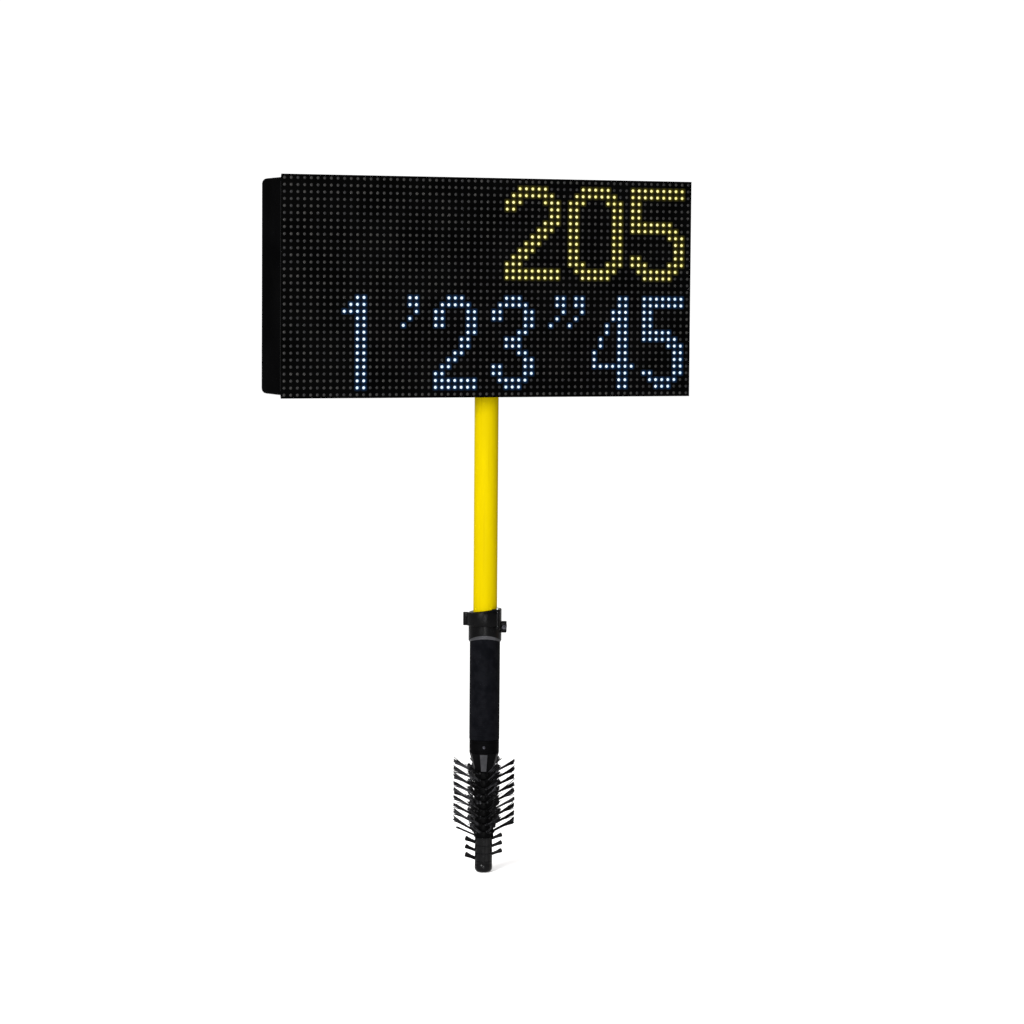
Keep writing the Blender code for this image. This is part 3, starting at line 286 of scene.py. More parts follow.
LAMP_PITCH = 8 * MM
DISPLAY_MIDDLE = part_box("led_mask_upper_left")[0].z
FINISHES = {
    # painted shade: a near-black copy of the case finish, used on the case's left side only
    "case": powder_coat("case_black", 0.0005, 0.6, 0.0003),
    "case_unshaded_sides": powder_coat("case_black_unshaded_sides", 0.0075, 0.5, 0.08),
    "cover": powder_coat("cover_black", 0.011, 0.46, 0.1),
    "knob": moulded_black("knob_plastic", 0.014, 0.38, 0.15),
    "soft_black": moulded_black("soft_black", 0.012, 0.6, 0.08),
    "mask": grained("mask_matt_black", grey(0.0004), 0.72, grey(0.0007),
                    (0.05, 4), (0.012, 4, 0.06), (0.0005, 2, 0.00003), specular=0.0002),
    "rim_yellow": mask_rim("mask_rim_yellow", (0.42, 0.36, 0.02), 0.34),
    "rim_white": mask_rim("mask_rim_white", (0.03, 0.16, 0.42), 0.5),
    "halo_yellow": mask_halo("mask_halo_yellow", (0.034, 0.029, 0.001)),
    "halo_white": mask_halo("mask_halo_white", (0.001, 0.014, 0.046)),
    "lamp_body": grained("lamp_body", grey(0.006), 0.6, grey(0.009),
                         (0.011, 2), None, (0.0004, 2, 0.00002), specular=0.05),
    "lens": grained("lamp_lens_off", (0.0155, 0.015, 0.0143), 0.45, (0.0095, 0.0095, 0.01),
                    (0.013, 2), None, (0.0003, 1, 0.00001), specular=0.05),
    "yellow": lamp_on("lamp_on_yellow", (1.0, 0.93, 0.38), (0.92, 0.84, 0.22), 1.0),
    "white": lamp_on("lamp_on_white", (0.82, 0.93, 1.0), (0.62, 0.82, 1.0), 1.05),
    "pole": pole_yellow(),
    "grip": grip_rubber(),
    "black": moulded_black("moulded_black", 0.0006, 0.42, 0.004),
    "clamp": moulded_black("clamp_nylon", 0.0008, 0.3, 0.03),
    # painted highlight: a lighter copy of the clamp finish for the collar's chamfered lip
    "clamp_lip": moulded_black("clamp_lip_painted_highlight", 0.017, 0.4, 0.04),
    "cone": moulded_black("cone_plastic", 0.0008, 0.36, 0.01),
    # painted highlight: a lighter copy of the cone finish for its front and rear flats
    "cone_flat": moulded_black("cone_flat_painted_highlight", 0.017, 0.4, 0.04),
    "bristle": monofilament("bristle_black", 0.0009),
    # lighter grey strands; their share is raised on the brush's lit left side, which is painted light
    "bristle_grey_and_painted_light": monofilament("bristle_grey_and_painted_light", 0.010),
    "hub": moulded_black("hub_plastic", 0.0005, 0.35, 0.01),
    "tip": moulded_black("tip_plastic", 0.0011, 0.24, 0.055),
    "steel": grained("zinc_steel", (0.3, 0.31, 0.33), 0.3, (0.2, 0.21, 0.22),
                     (0.002, 4), (0.0009, 5, 0.1), (0.0005, 3, 0.00002), metallic=1.0),
    "dark_steel": grained("blackened_steel", (0.012, 0.012, 0.014), 0.36, (0.02, 0.02, 0.023),
                          (0.002, 4), (0.0009, 5, 0.08), (0.0005, 3, 0.00002), metallic=1.0),
    "aluminium": grained("anodised_aluminium", (0.3, 0.3, 0.31), 0.34, (0.24, 0.24, 0.25),
                         (0.01, 4, (1, 1, 0.08)), (0.0012, 4, (1, 1, 0.05), 0.08),
                         (0.0006, 2, (1, 1, 0.04), 0.00001), metallic=1.0),
    "seal": grained("seal_rubber", grey(0.0018), 0.8, grey(0.003),
                    (0.01, 4), (0.003, 4, 0.07), (0.0008, 3, 0.00005), specular=0.02),
    "tray": grained("tray_plastic", grey(0.0025), 0.5, grey(0.004),
                    (0.02, 4), (0.004, 4, 0.08), (0.0007, 3, 0.00004), specular=0.03),
    "battery": grained("battery_wrap", (0.02, 0.06, 0.2), 0.32, (0.015, 0.045, 0.16),
                       (0.02, 4), (0.006, 4, 0.1), (0.02, 3, (1, 1, 1), 1.5, 0.0003)),
    "board": solder_mask(),
    "can": grained("tinned_can", (0.6, 0.6, 0.58), 0.28, grey(0.5),
                   (0.004, 3), (0.002, 4, 0.1), (0.003, 3, 0.00004), metallic=1.0),
    "jacket": grained("cable_jacket", (0.01, 0.01, 0.011), 0.5, (0.016, 0.016, 0.017),
                      (0.008, 3), (0.003, 3, 0.08), (0.0008, 2, 0.00003), specular=0.4),
    "button": grained("button_red", (0.32, 0.012, 0.01), 0.35, (0.26, 0.01, 0.008),
                      (0.006, 4), (0.002, 4, 0.1), (0.0005, 3, 0.00002)),
}

NODE_FINISH = {
    "brush_core": "steel", "brush_tip": "hub", "anchor_cone": "cone", "lock_ring": "black",
    "ground_sleeve": "black", "grip_sleeve": "grip", "pole_stop": "seal", "clamp_collar": "clamp",
    "pinch_screw": "steel", "pinch_nut": "steel", "ring_screw": "steel", "lever_pin": "steel",
    "clamp_lever": "clamp", "pole": "pole", "pole_foot_plug": "black", "pole_top_plug": "black",
    "module_cross": "tray", "case_tray": "case", "case_gasket": "seal", "pole_socket": "aluminium",
    "battery_pack": "battery", "battery_cradle": "aluminium", "controller_board": "board",
    "radio_module": "can", "power_converter": "aluminium", "power_harness": "jacket",
    "button_bezel": "steel", "charge_socket": "soft_black", "service_cover": "cover", "swivel_knob": "knob",
    "power_button": "button", "charge_cap": "soft_black",
}
NODE_PREFIX_FINISH = {
    "bristle_tier": "hub", "stub_tier": "hub", "led_mask": "mask", "led_board": "tray",
    "cover_screw": "steel", "socket_screw": "steel",
}


def finish_cad_nodes():
    for name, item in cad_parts.items():
        key = NODE_FINISH.get(name)
        if key is None:
            key = next(k for prefix, k in NODE_PREFIX_FINISH.items() if name.startswith(prefix))
        item.data.materials.clear()
        item.data.materials.append(FINISHES[key])
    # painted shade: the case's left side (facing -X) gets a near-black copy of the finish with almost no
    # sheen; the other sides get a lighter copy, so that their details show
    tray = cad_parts["case_tray"].data
    tray.materials.append(FINISHES["case_unshaded_sides"])
    for face in tray.polygons:
        face.material_index = int(face.normal.x > -0.5)


# ---------------- mesh helpers
def place_in_scene(name, data):
    item = bpy.data.objects.new(name, data)
    bpy.context.scene.collection.objects.link(item)
    return item


def as_mesh(name, bm):
    bmesh.ops.recalc_face_normals(bm, faces=bm.faces)
    mesh = bpy.data.meshes.new(name)
    bm.to_mesh(mesh)
    bm.free()
    return mesh


def piece(name, bm, finishes, body, replaced=(), sharp=35):
    """Turn a bmesh into an object that rides on a body and stands for the named CAD nodes."""
    mesh = as_mesh(name, bm)
    mesh.shade_smooth()
    mesh.set_sharp_from_angle(angle=radians(sharp))
    return wear(name, mesh, finishes, body, replaced)


def wear(name, mesh, finishes, body, replaced=()):
    for key in finishes:
        mesh.materials.append(FINISHES[key])
    item = place_in_scene(name, mesh)
    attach(item, body)
    if replaced:
        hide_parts(*replaced)
    return item


def lathe(profile, sides, bm=None, slot=0):
    """Spin a closed (radius, height) profile about Z.  A radius may be a function of the angle."""
    bm = bm or bmesh.new()
    rings = []
    for radius, height in profile:
        if not callable(radius) and radius < 1e-9:
            rings.append([bm.verts.new((0, 0, height))] * sides)
            continue
        ring = []
        for i in range(sides):
            angle = tau * i / sides
            here = radius(angle) if callable(radius) else radius
            level = height(angle) if callable(height) else height
            ring.append(bm.verts.new((here * cos(angle), here * sin(angle), level)))
        rings.append(ring)
    for ring, after in zip(rings, rings[1:] + rings[:1]):
        for i in range(sides):
            j = (i + 1) % sides
            corners = list(dict.fromkeys((ring[i], ring[j], after[j], after[i])))
            if len(corners) > 2:
                bm.faces.new(corners).material_index = slot
    return bm


def aimed(bm, place, axis):
    """Move a shape that was made along Z so that it points along an axis from a place."""
    swing = Vector(axis).normalized().to_track_quat("Z", "Y").to_matrix().to_4x4()
    bmesh.ops.transform(bm, matrix=Matrix.Translation(place) @ swing, verts=bm.verts)
    return bm


def moved(bm, step):
    bmesh.ops.translate(bm, vec=step, verts=bm.verts)
    return bm


def arc(centre, radius, start, end, steps):
    """Points of a round corner in a profile."""
    return [(centre[0] + radius * cos(start + (end - start) * k / steps),
             centre[1] + radius * sin(start + (end - start) * k / steps)) for k in range(steps + 1)]


def outline_plate(outline, low, high):
    bm = bmesh.new()
    face = bm.faces.new([bm.verts.new((x, y, low)) for x, y in outline])
    raised = bmesh.ops.extrude_face_region(bm, geom=[face])["geom"]
    verts = [part for part in raised if isinstance(part, bmesh.types.BMVert)]
    bmesh.ops.translate(bm, vec=(0, 0, high - low), verts=verts)
    bmesh.ops.recalc_face_normals(bm, faces=bm.faces)
    return bm


def carve(item, bm, operation="DIFFERENCE"):
    """Apply a Boolean to a piece's own mesh, and leave no helper behind."""
    helper = place_in_scene("helper", as_mesh("helper", bm))
    boolean = item.modifiers.new("cut", "BOOLEAN")
    boolean.operation = operation
    boolean.object = helper
    boolean.solver = "EXACT"
    graph = bpy.context.evaluated_depsgraph_get()
    graph.update()
    fresh = bpy.data.meshes.new_from_object(item.evaluated_get(graph))
    item.modifiers.clear()
    item.data = fresh
    fresh.shade_smooth()
    fresh.set_sharp_from_angle(angle=radians(30))
    bpy.data.objects.remove(helper, do_unlink=True)


# ---------------- LED face
COLUMNS = 32
ROWS = 16
HOLE_RADIUS = 2.35 * MM
WELL_RADIUS = 2.1 * MM
WELL_DEPTH = 1.5 * MM
CHAMFER = 0.3 * MM
MASK_EDGE = 0.35 * MM
SEAM_EDGE = 0.06 * MM
SEAM_GROWTH = 0.13 * MM          # each mask grows this far towards its neighbours
SKIRT_TAPER = 2.5 * MM
LAMP_RADIUS = 1.95 * MM
WELL_SIDES = 12

DIGITS = {                       # rows from the top, where *n repeats a row
    "1": "..## .### #### ..##*11",
    "2": "..###.. .#####. ##...##*3 .....## ....##.*2 ...##.. ..##... .##.... ##..... #######*2",
    "3": "..###.. .#####. ##...##*2 .....## ....##. ..###..*2 ....##. .....## ##...##*2 .#####. ..###..",
    "4": "....##.*2 ...###.*2 ..#.##.*2 .#..##.*2 #...##.*2 ####### ....##.*3",
    "5": "#######*2 ##.....*3 #####.. ######. ....### .....##*3 ##...## .#####. ..###..",
    "'": ".##*2 ..# .#. #..",
    "wide 0": "..#####.. .#######. ###...### ##.....##*8 ###...### .#######. ..#####..",
    "wide 2": "..#####.. .#######. ###...### ##.....## .......## ......### .....###. ....###.. ...###... "
              "..###.... .###..... ###...... #########*2",
    "wide 5": "#########*2 ##.......*3 #######.. ########. ......### .......##*2 ##.....## ###...### "
              ".#######. ..#####..",
}
UPPER_LINE = (("wide 2", 34), ("wide 0", 44), ("wide 5", 54))
LOWER_LINE = (("1", 9), ("'", 18), ("2", 23), ("3", 32), ("'", 41), ("'", 44), ("4", 48), ("5", 56))
UPPER_ROW = 1
LOWER_ROW = 17


def glyph_rows(glyph):
    rows = []
    for entry in DIGITS[glyph].split():
        dots, _, count = entry.partition("*")
        rows += [dots] * int(count or 1)
    return rows


def lit_lamps():
    """Which lamps are on: (column, row from the top) to a colour's name."""
    lit = {}
    for line, top, colour in ((UPPER_LINE, UPPER_ROW, "yellow"), (LOWER_LINE, LOWER_ROW, "white")):
        for glyph, left in line:
            for row, dots in enumerate(glyph_rows(glyph)):
                for column, dot in enumerate(dots):
                    if dot == "#":
                        lit[left + column, top + row] = colour
    return lit


def module_grid(level, side):
    """The module's corners, its first column and row in the display, and its pitch both ways.

    The corners are moved towards the neighbours, so that only a hairline seam is left.
    """
    low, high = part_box(f"led_mask_{level}_{side}")
    column0, row0 = 0, 0
    if side == "left":
        high.x += SEAM_GROWTH
    else:
        low.x -= SEAM_GROWTH
        column0 = COLUMNS
    if level == "lower":
        high.z += SEAM_GROWTH
        row0 = ROWS
    else:
        low.z -= SEAM_GROWTH
    return low, high, column0, row0, (high.x - low.x) / COLUMNS, (high.z - low.z) / ROWS


def module_mask(level, side, lit):
    """The module's front: a plate with a sunk well for each lamp, chamfered edges and a skirt."""
    low, high, column0, row0, pitch_x, pitch_z = module_grid(level, side)
    bm = bmesh.new()
    xs = [low.x + pitch_x * i for i in range(COLUMNS + 1)]
    zs = [low.z + pitch_z * k for k in range(ROWS + 1)]

    def at(x, z, y, outside, seam):
        """A border point, pulled in by one amount at the display's edge and by another at a seam."""
        left, right = (outside, seam) if side == "left" else (seam, outside)
        below, above = (outside, seam) if level == "lower" else (seam, outside)
        x = min(max(x, low.x + left), high.x - right)
        return bm.verts.new((x, y, min(max(z, low.z + below), high.z - above)))

    grid = [[at(x, z, low.y, MASK_EDGE, SEAM_EDGE) for z in zs] for x in xs]
    angles = [pi / 4 - pi / 6 * k for k in range(WELL_SIDES)]
    for i in range(COLUMNS):
        for k in range(ROWS):
            colour = lit.get((column0 + i, row0 + ROWS - 1 - k))
            # painted light: the well and the flat mask round a lit lamp get the glowing rim and halo finishes
            rim = {"yellow": 1, "white": 2}.get(colour, 0)
            flat = {"yellow": 3, "white": 4}.get(colour, 0)
            centre = Vector(((xs[i] + xs[i + 1]) / 2, 0, (zs[k] + zs[k + 1]) / 2))
            rings = []
            for radius, depth in ((HOLE_RADIUS, 0), (WELL_RADIUS, CHAMFER), (WELL_RADIUS, WELL_DEPTH)):
                rings.append([bm.verts.new((centre.x + radius * cos(a), low.y + depth,
                                            centre.z + radius * sin(a))) for a in angles])
            corners = [grid[i + 1][k + 1], grid[i + 1][k], grid[i][k], grid[i][k + 1]]
            for quarter in range(4):
                first, second = corners[quarter], corners[(quarter + 1) % 4]
                hole = [rings[0][(3 * quarter + n) % WELL_SIDES] for n in range(4)]
                wedges = ((first, hole[0], hole[1]), (first, hole[1], hole[2], second),
                          (second, hole[2], hole[3]))
                for wedge in wedges:
                    bm.faces.new(wedge).material_index = flat
            for outer, inner in zip(rings, rings[1:]):
                for n in range(WELL_SIDES):
                    m = (n + 1) % WELL_SIDES
                    bm.faces.new((outer[n], outer[m], inner[m], inner[n])).material_index = rim
            bm.faces.new(rings[-1]).material_index = rim
    border = [(i, 0) for i in range(COLUMNS)] + [(COLUMNS, k) for k in range(ROWS)]
    border += [(i, ROWS) for i in range(COLUMNS, 0, -1)] + [(0, k) for k in range(ROWS, 0, -1)]
    wall = 2 * MM
    steps = ((0, 0, low.y + MASK_EDGE), (SKIRT_TAPER, 0, high.y - 0.2 * MM),
             (SKIRT_TAPER + 0.2 * MM, 0.2 * MM, high.y), (SKIRT_TAPER + wall, wall, high.y),
             (wall, wall, low.y + 3.5 * MM))
    loops = [[grid[i][k] for i, k in border]]
    loops += [[at(xs[i], zs[k], y, outside, seam) for i, k in border] for outside, seam, y in steps]
    for outer, inner in zip(loops, loops[1:]):
        for n in range(len(border)):
            m = (n + 1) % len(border)
            bm.faces.new((outer[n], outer[m], inner[m], inner[n]))
    bm.faces.new(loops[-1])
    finishes = ("mask", "rim_yellow", "rim_white", "halo_yellow", "halo_white")
    piece(f"mask_{level}_{side}", bm, finishes, "display", (f"led_mask_{level}_{side}",))


def module_lamps(level, side, lit):
    """One small lamp in each well: a round package with a low dome."""
    low, _, column0, row0, pitch_x, pitch_z = module_grid(level, side)
    sides = 12
    rings = ((LAMP_RADIUS, WELL_DEPTH - 0.02 * MM), (LAMP_RADIUS, 0.95 * MM), (1.7 * MM, 0.85 * MM),
             (1.2 * MM, 0.5 * MM), (0.6 * MM, 0.36 * MM))
    turns = [tau * (n + 0.5) / sides for n in range(sides)]
    verts, faces, slots = [], [], []
    for i in range(COLUMNS):
        for k in range(ROWS):
            colour = lit.get((column0 + i, row0 + ROWS - 1 - k))
            lens = {"yellow": 2, "white": 3}.get(colour, 1)
            x = low.x + pitch_x * (i + 0.5)
            z = low.z + pitch_z * (k + 0.5)
            start = len(verts)
            for radius, depth in rings:
                verts += [(x + radius * cos(t), low.y + depth, z + radius * sin(t)) for t in turns]
            faces.append([start + n for n in range(sides)])
            slots.append(0)
            for ring in range(len(rings) - 1):
                a = start + ring * sides
                for n in range(sides):
                    m = (n + 1) % sides
                    faces.append([a + m, a + n, a + sides + n, a + sides + m])
                    slots.append(lens if ring > 1 else 0)
            top = start + (len(rings) - 1) * sides
            faces.append([top + n for n in reversed(range(sides))])
            slots.append(lens)
    mesh = bpy.data.meshes.new(f"lamps_{level}_{side}")
    mesh.from_pydata(verts, [], faces)
    mesh.polygons.foreach_set("material_index", slots)
    mesh.shade_smooth()
    mesh.set_sharp_from_angle(angle=radians(50))
    wear(f"lamps_{level}_{side}", mesh, ("lamp_body", "lens", "yellow", "white"), "display")


# ---------------- places read from the CAD nodes
UP = Vector((0, 0, 1))


def points_of(node):
    return [vert.co.copy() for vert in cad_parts[node].data.vertices]


def span(node, axis):
    """Lowest and highest reach of a node along an axis."""
    reach = [point.dot(axis) for point in points_of(node)]
    return min(reach), max(reach)


def axis_line(node, axis):
    """The point nearest the origin on the axis that a turned node is built round."""
    low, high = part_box(node)
    middle = (low + high) / 2
    return middle - axis * middle.dot(axis)


def bearing(node):
    """Angle of a node's middle round the pole."""
    low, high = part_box(node)
    return atan2(low.y + high.y, low.x + high.x)


EAR_ANGLE = bearing("pinch_screw")
PIN_ANGLE = bearing("lever_pin")
FRONT_ANGLE = bearing("ring_screw")


def facing(angle, towards, power=1):
    """1 towards an angle, falling to 0 a quarter turn away."""
    return max(0.0, cos(angle - towards)) ** power


# ---------------- screws
CASE_SCREW = (1.7 * MM, 3.1 * MM, 1.9 * MM)      # shaft radius, head radius, head height


def hexagon(flat):
    """Radius of a hexagon by angle, for a driver socket."""
    step = tau / 6

    def radius(angle):
        return flat / cos((angle + step / 2) % step - step / 2)
    return radius


def screw(node, axis, shaft, head_radius, head_height, body="display", finish="steel"):
    """A round-headed screw with a hexagon socket, as long as its CAD node."""
    axis = Vector(axis).normalized()
    low, high = span(node, axis)
    seat = high - head_height
    socket = hexagon(head_radius * 0.4)
    profile = [(0, low), (shaft - 0.3 * MM, low), (shaft, low + 0.4 * MM), (shaft, seat)]
    profile += [(head_radius - 0.15 * MM, seat), (head_radius, seat + 0.15 * MM)]
    profile += [(head_radius * 0.98, seat + head_height * 0.45)]
    profile += [(head_radius * 0.88, high - head_height * 0.18)]
    profile += [(head_radius * 0.72, high - head_height * 0.02), (head_radius * 0.55, high)]
    profile += [(socket, high - 0.1 * MM), (socket, high - head_height * 0.6), (0, high - head_height * 0.72)]
    bm = aimed(lathe(profile, 36), axis_line(node, axis), axis)
    piece(f"{node}_head", bm, (finish,), body, (node,))


def hex_nut(node, axis, bolt, body):
    axis = Vector(axis).normalized()
    low, high = span(node, axis)
    wide, face = hexagon(2.95 * MM), 2.9 * MM
    edge = 0.35 * MM
    profile = [(bolt, low), (face, low), (wide, low + edge)]
    profile += [(wide, high - edge), (face, high), (bolt, high)]
    bm = aimed(lathe(profile, 48), axis_line(node, axis), axis)
    piece(f"{node}_body", bm, ("dark_steel",), body, (node,), sharp=25)


def make_screws():
    for name in sorted(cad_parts):
        if name.startswith("cover_screw"):
            screw(name, (0, 1, 0), *CASE_SCREW)
        elif name.startswith("socket_screw"):
            screw(name, (0, 0, -1), *CASE_SCREW)
    across = Vector((sin(EAR_ANGLE), -cos(EAR_ANGLE), 0))
    screw("pinch_screw", across, 1.9 * MM, 3.4 * MM, 2.6 * MM, "base", "dark_steel")
    hex_nut("pinch_nut", -across, 2.1 * MM, "base")
    outward = (cos(FRONT_ANGLE), sin(FRONT_ANGLE), 0)
    screw("ring_screw", outward, 1.2 * MM, 1.95 * MM, 1.0 * MM, "base", "dark_steel")
    low, high = span("lever_pin", UP)
    profile = [(0, low), (1.1 * MM, low), (1.3 * MM, low + 0.2 * MM), (1.3 * MM, high - 1.4 * MM)]
    profile += [(2.2 * MM, high - 1.4 * MM), (2.3 * MM, high - 1.2 * MM), (2.1 * MM, high - 0.6 * MM)]
    profile += [(1.4 * MM, high - 0.15 * MM), (0.6 * MM, high)]
    bm = aimed(lathe(profile + [(0, high)], 32), axis_line("lever_pin", UP), UP)
    piece("lever_pin_head", bm, ("steel",), "base", ("lever_pin",))


# ---------------- the brush
CORE_BORE = 7.3 * MM             # the tiers, the cone and the tip are threaded on the core
TUFT_ROOT = 10 * MM
TUFT_RISE = radians(29)
SIDE_REACH = 36.8 * MM           # the tufts at the left and right are the longest
LONG_REACH = 34.6 * MM
SHORT_REACH = 15.2 * MM
STUB_HUB = 10.5 * MM
STUB_RISE = radians(20)
STUB_START = 9.2 * MM
STUB_RUN = 12.8 * MM


def strand(bm, points, radii, sides=5, slot=0):
    """A tapering solid through the given points, closed at both ends."""
    rings = []
    for n, (place, radius) in enumerate(zip(points, radii)):
        ahead = (points[min(n + 1, len(points) - 1)] - points[max(n - 1, 0)]).normalized()
        side = ahead.cross(UP)
        side = side.normalized() if side.length > 1e-6 else Vector((1, 0, 0))
        over = side.cross(ahead)
        turns = [tau * k / sides for k in range(sides)]
        rings.append([bm.verts.new(place + radius * (cos(t) * side + sin(t) * over)) for t in turns])
    for near, far in zip(rings, rings[1:]):
        for k in range(sides):
            m = (k + 1) % sides
            bm.faces.new((near[k], near[m], far[m], far[k])).material_index = slot
    bm.faces.new(list(reversed(rings[0]))).material_index = slot
    bm.faces.new(rings[-1]).material_index = slot


def out_and_up(angle, radius, height):
    return Vector((radius * cos(angle), radius * sin(angle), height))


def tuft(bm, draw, angle, reach, rise, height, fan, splay, count, grey):
    """A bundle of bristles that leave the hub together and spread towards their tips.

    Four stout clumps make the bundle's body, and single bristles stand out round them.
    """
    climb = sin(rise) / cos(rise)
    for n in range(count):
        clump = n < 4
        aside = (n / 1.5 - 1) * 0.28 * fan if clump else draw.gauss(0, 0.5) * fan
        lift = ((-1) ** n * draw.uniform(0.2, 0.5) if clump else draw.gauss(0, 0.6)) * splay
        length = reach - abs(draw.gauss(0, 1.5 * MM)) - (0.6 * MM if clump else 0)
        droop = draw.uniform(-0.2, 0.5) * MM
        start = height + draw.uniform(-0.7, 0.7) * (0.5 if clump else 1) * MM
        thick = draw.uniform(1.2, 1.4) * MM if clump else draw.uniform(0.45, 0.6) * MM
        points, radii = [], []
        for step in range(6):
            t = step / 5
            radius = TUFT_ROOT + (length - TUFT_ROOT) * t
            sweep = aside * (0.25 * t + 0.75 * t * t)
            level = start + (radius - TUFT_ROOT) * climb + lift * t * t - droop * t * t
            points.append(out_and_up(angle + sweep, radius, level))
            radii.append(thick * (1 - 0.14 * t))
        strand(bm, points, radii, 5, 1 if draw.random() < grey else 0)


def hub_ring(bm, low, high, radius):
    """One moulded segment of the brush's body, a little wider at its top."""
    wide = radius * 1.03
    profile = [(CORE_BORE, low), (radius - 0.7 * MM, low), (radius, low + 0.5 * MM), (wide, high - 1.6 * MM)]
    profile += [(wide - 0.3 * MM, high - 0.7 * MM), (radius - 0.9 * MM, high), (CORE_BORE, high)]
    lathe(profile, 48, bm, 2)


def long_tier(name, draw):
    low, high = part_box(name)
    hub_high = max(p.z for p in points_of(name) if p.xy.length < 12 * MM)
    bm = bmesh.new()
    hub_ring(bm, low.z, hub_high, 11.6 * MM)
    for n in range(6):
        angle = EAR_ANGLE + tau * n / 6 + draw.gauss(0, 0.03)
        root = hub_high - 1.9 * MM + draw.gauss(0, 0.2) * MM
        reach = SIDE_REACH if n % 3 == 0 else LONG_REACH
        # painted light: the three tuft columns towards the left, where the key light falls, get more of the
        # lighter grey strands
        grey = 0.55 if abs(n - 3) < 2 else 0.15
        tuft(bm, draw, angle, reach, TUFT_RISE, root, radians(7), 2.9 * MM, 26, grey)
        for aside in (-0.33, 0.33):
            short = angle + tau / 12 + aside + draw.gauss(0, 0.04)
            foot = hub_high - 3.2 * MM
            tuft(bm, draw, short, SHORT_REACH, radians(36), foot, radians(10), 1.0 * MM, 8, 0.2)
    piece(f"{name}_bristles", bm, ("bristle", "bristle_grey_and_painted_light", "hub"), "base", (name,), sharp=40)


def stub_tier(name, draw):
    """Short stiff bristles with thick ends on two sides, the left ones lower than the right ones."""
    low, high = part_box(name)
    hub_high = max(p.z for p in points_of(name) if p.xy.length < 8 * MM)
    bm = bmesh.new()
    profile = [(CORE_BORE, low.z), (STUB_HUB - 0.2 * MM, low.z), (STUB_HUB, low.z + 0.2 * MM)]
    profile += [(STUB_HUB, hub_high - 0.2 * MM), (STUB_HUB - 0.2 * MM, hub_high), (CORE_BORE, hub_high)]
    lathe(profile, 48, bm, 1)
    climb = sin(STUB_RISE) / cos(STUB_RISE)
    for angle, drop in ((EAR_ANGLE, 1.6 * MM), (EAR_ANGLE + pi, 6.6 * MM)):
        for aside in (-0.11, -0.03, 0.05, 0.12):
            height = hub_high - drop + draw.gauss(0, 0.35) * MM
            points = [out_and_up(angle + aside, STUB_START + STUB_RUN * t,
                                 height + STUB_RUN * t * climb + 0.5 * MM * t * t)
                      for t in (0, 0.25, 0.5, 0.72, 0.88, 0.96, 1.0)]
            swell = [0.95, 0.95, 1.0, 1.2, 1.45, 1.35, 0.9]
            size = draw.uniform(1.55, 1.8) * MM
            strand(bm, points, [size * k for k in swell], 8, 0)
    piece(f"{name}_stubs", bm, ("bristle", "tip"), "base", (name,), sharp=40)


def flat_bristle(draw):
    """One longer, flatter tuft low on the left side."""
    bm = bmesh.new()
    angle = EAR_ANGLE + pi
    steps = (0, 0.25, 0.5, 0.75, 1)
    for n in range(7):
        start = -77.5 * MM + draw.gauss(0, 0.3) * MM
        aside = draw.gauss(0, 0.05)
        length = draw.uniform(31.5, 33.4) * MM
        points = [out_and_up(angle + aside * t, TUFT_ROOT + (length - TUFT_ROOT) * t,
                             start + 9.5 * MM * t + draw.gauss(0, 0.12) * MM) for t in steps]
        # painted light: every other strand of this tuft on the lit left side gets the lighter grey finish
        strand(bm, points, [0.95 * MM * (1 - 0.2 * t) for t in steps], 5, n % 2)
    piece("flat_tuft", bm, ("bristle", "bristle_grey_and_painted_light"), "base", sharp=40)


def make_brush():
    draw = random.Random(7)
    for name in sorted(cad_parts):
        if name.startswith("bristle_tier"):
            long_tier(name, draw)
        elif name.startswith("stub_tier"):
            stub_tier(name, draw)
    flat_bristle(draw)
    low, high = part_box("brush_tip")
    corner = 5 * MM
    profile = [(0, high.z), (STUB_HUB - 0.2 * MM, high.z), (STUB_HUB, high.z - 0.2 * MM)]
    profile += [(STUB_HUB, high.z - 3.0 * MM), (STUB_HUB - 0.2 * MM, high.z - 3.3 * MM)]
    profile += [(STUB_HUB, high.z - 3.6 * MM)]
    profile += arc((STUB_HUB - corner, low.z + corner), corner, 0, -pi / 2, 10)
    piece("rounded_tip", lathe(profile + [(0, low.z)], 64), ("tip",), "base", ("brush_tip",))


# ---------------- cone, ring and grip
SLEEVE_BORE = 16.75 * MM         # what slides over the ground sleeve
CONE_FLATS = 10


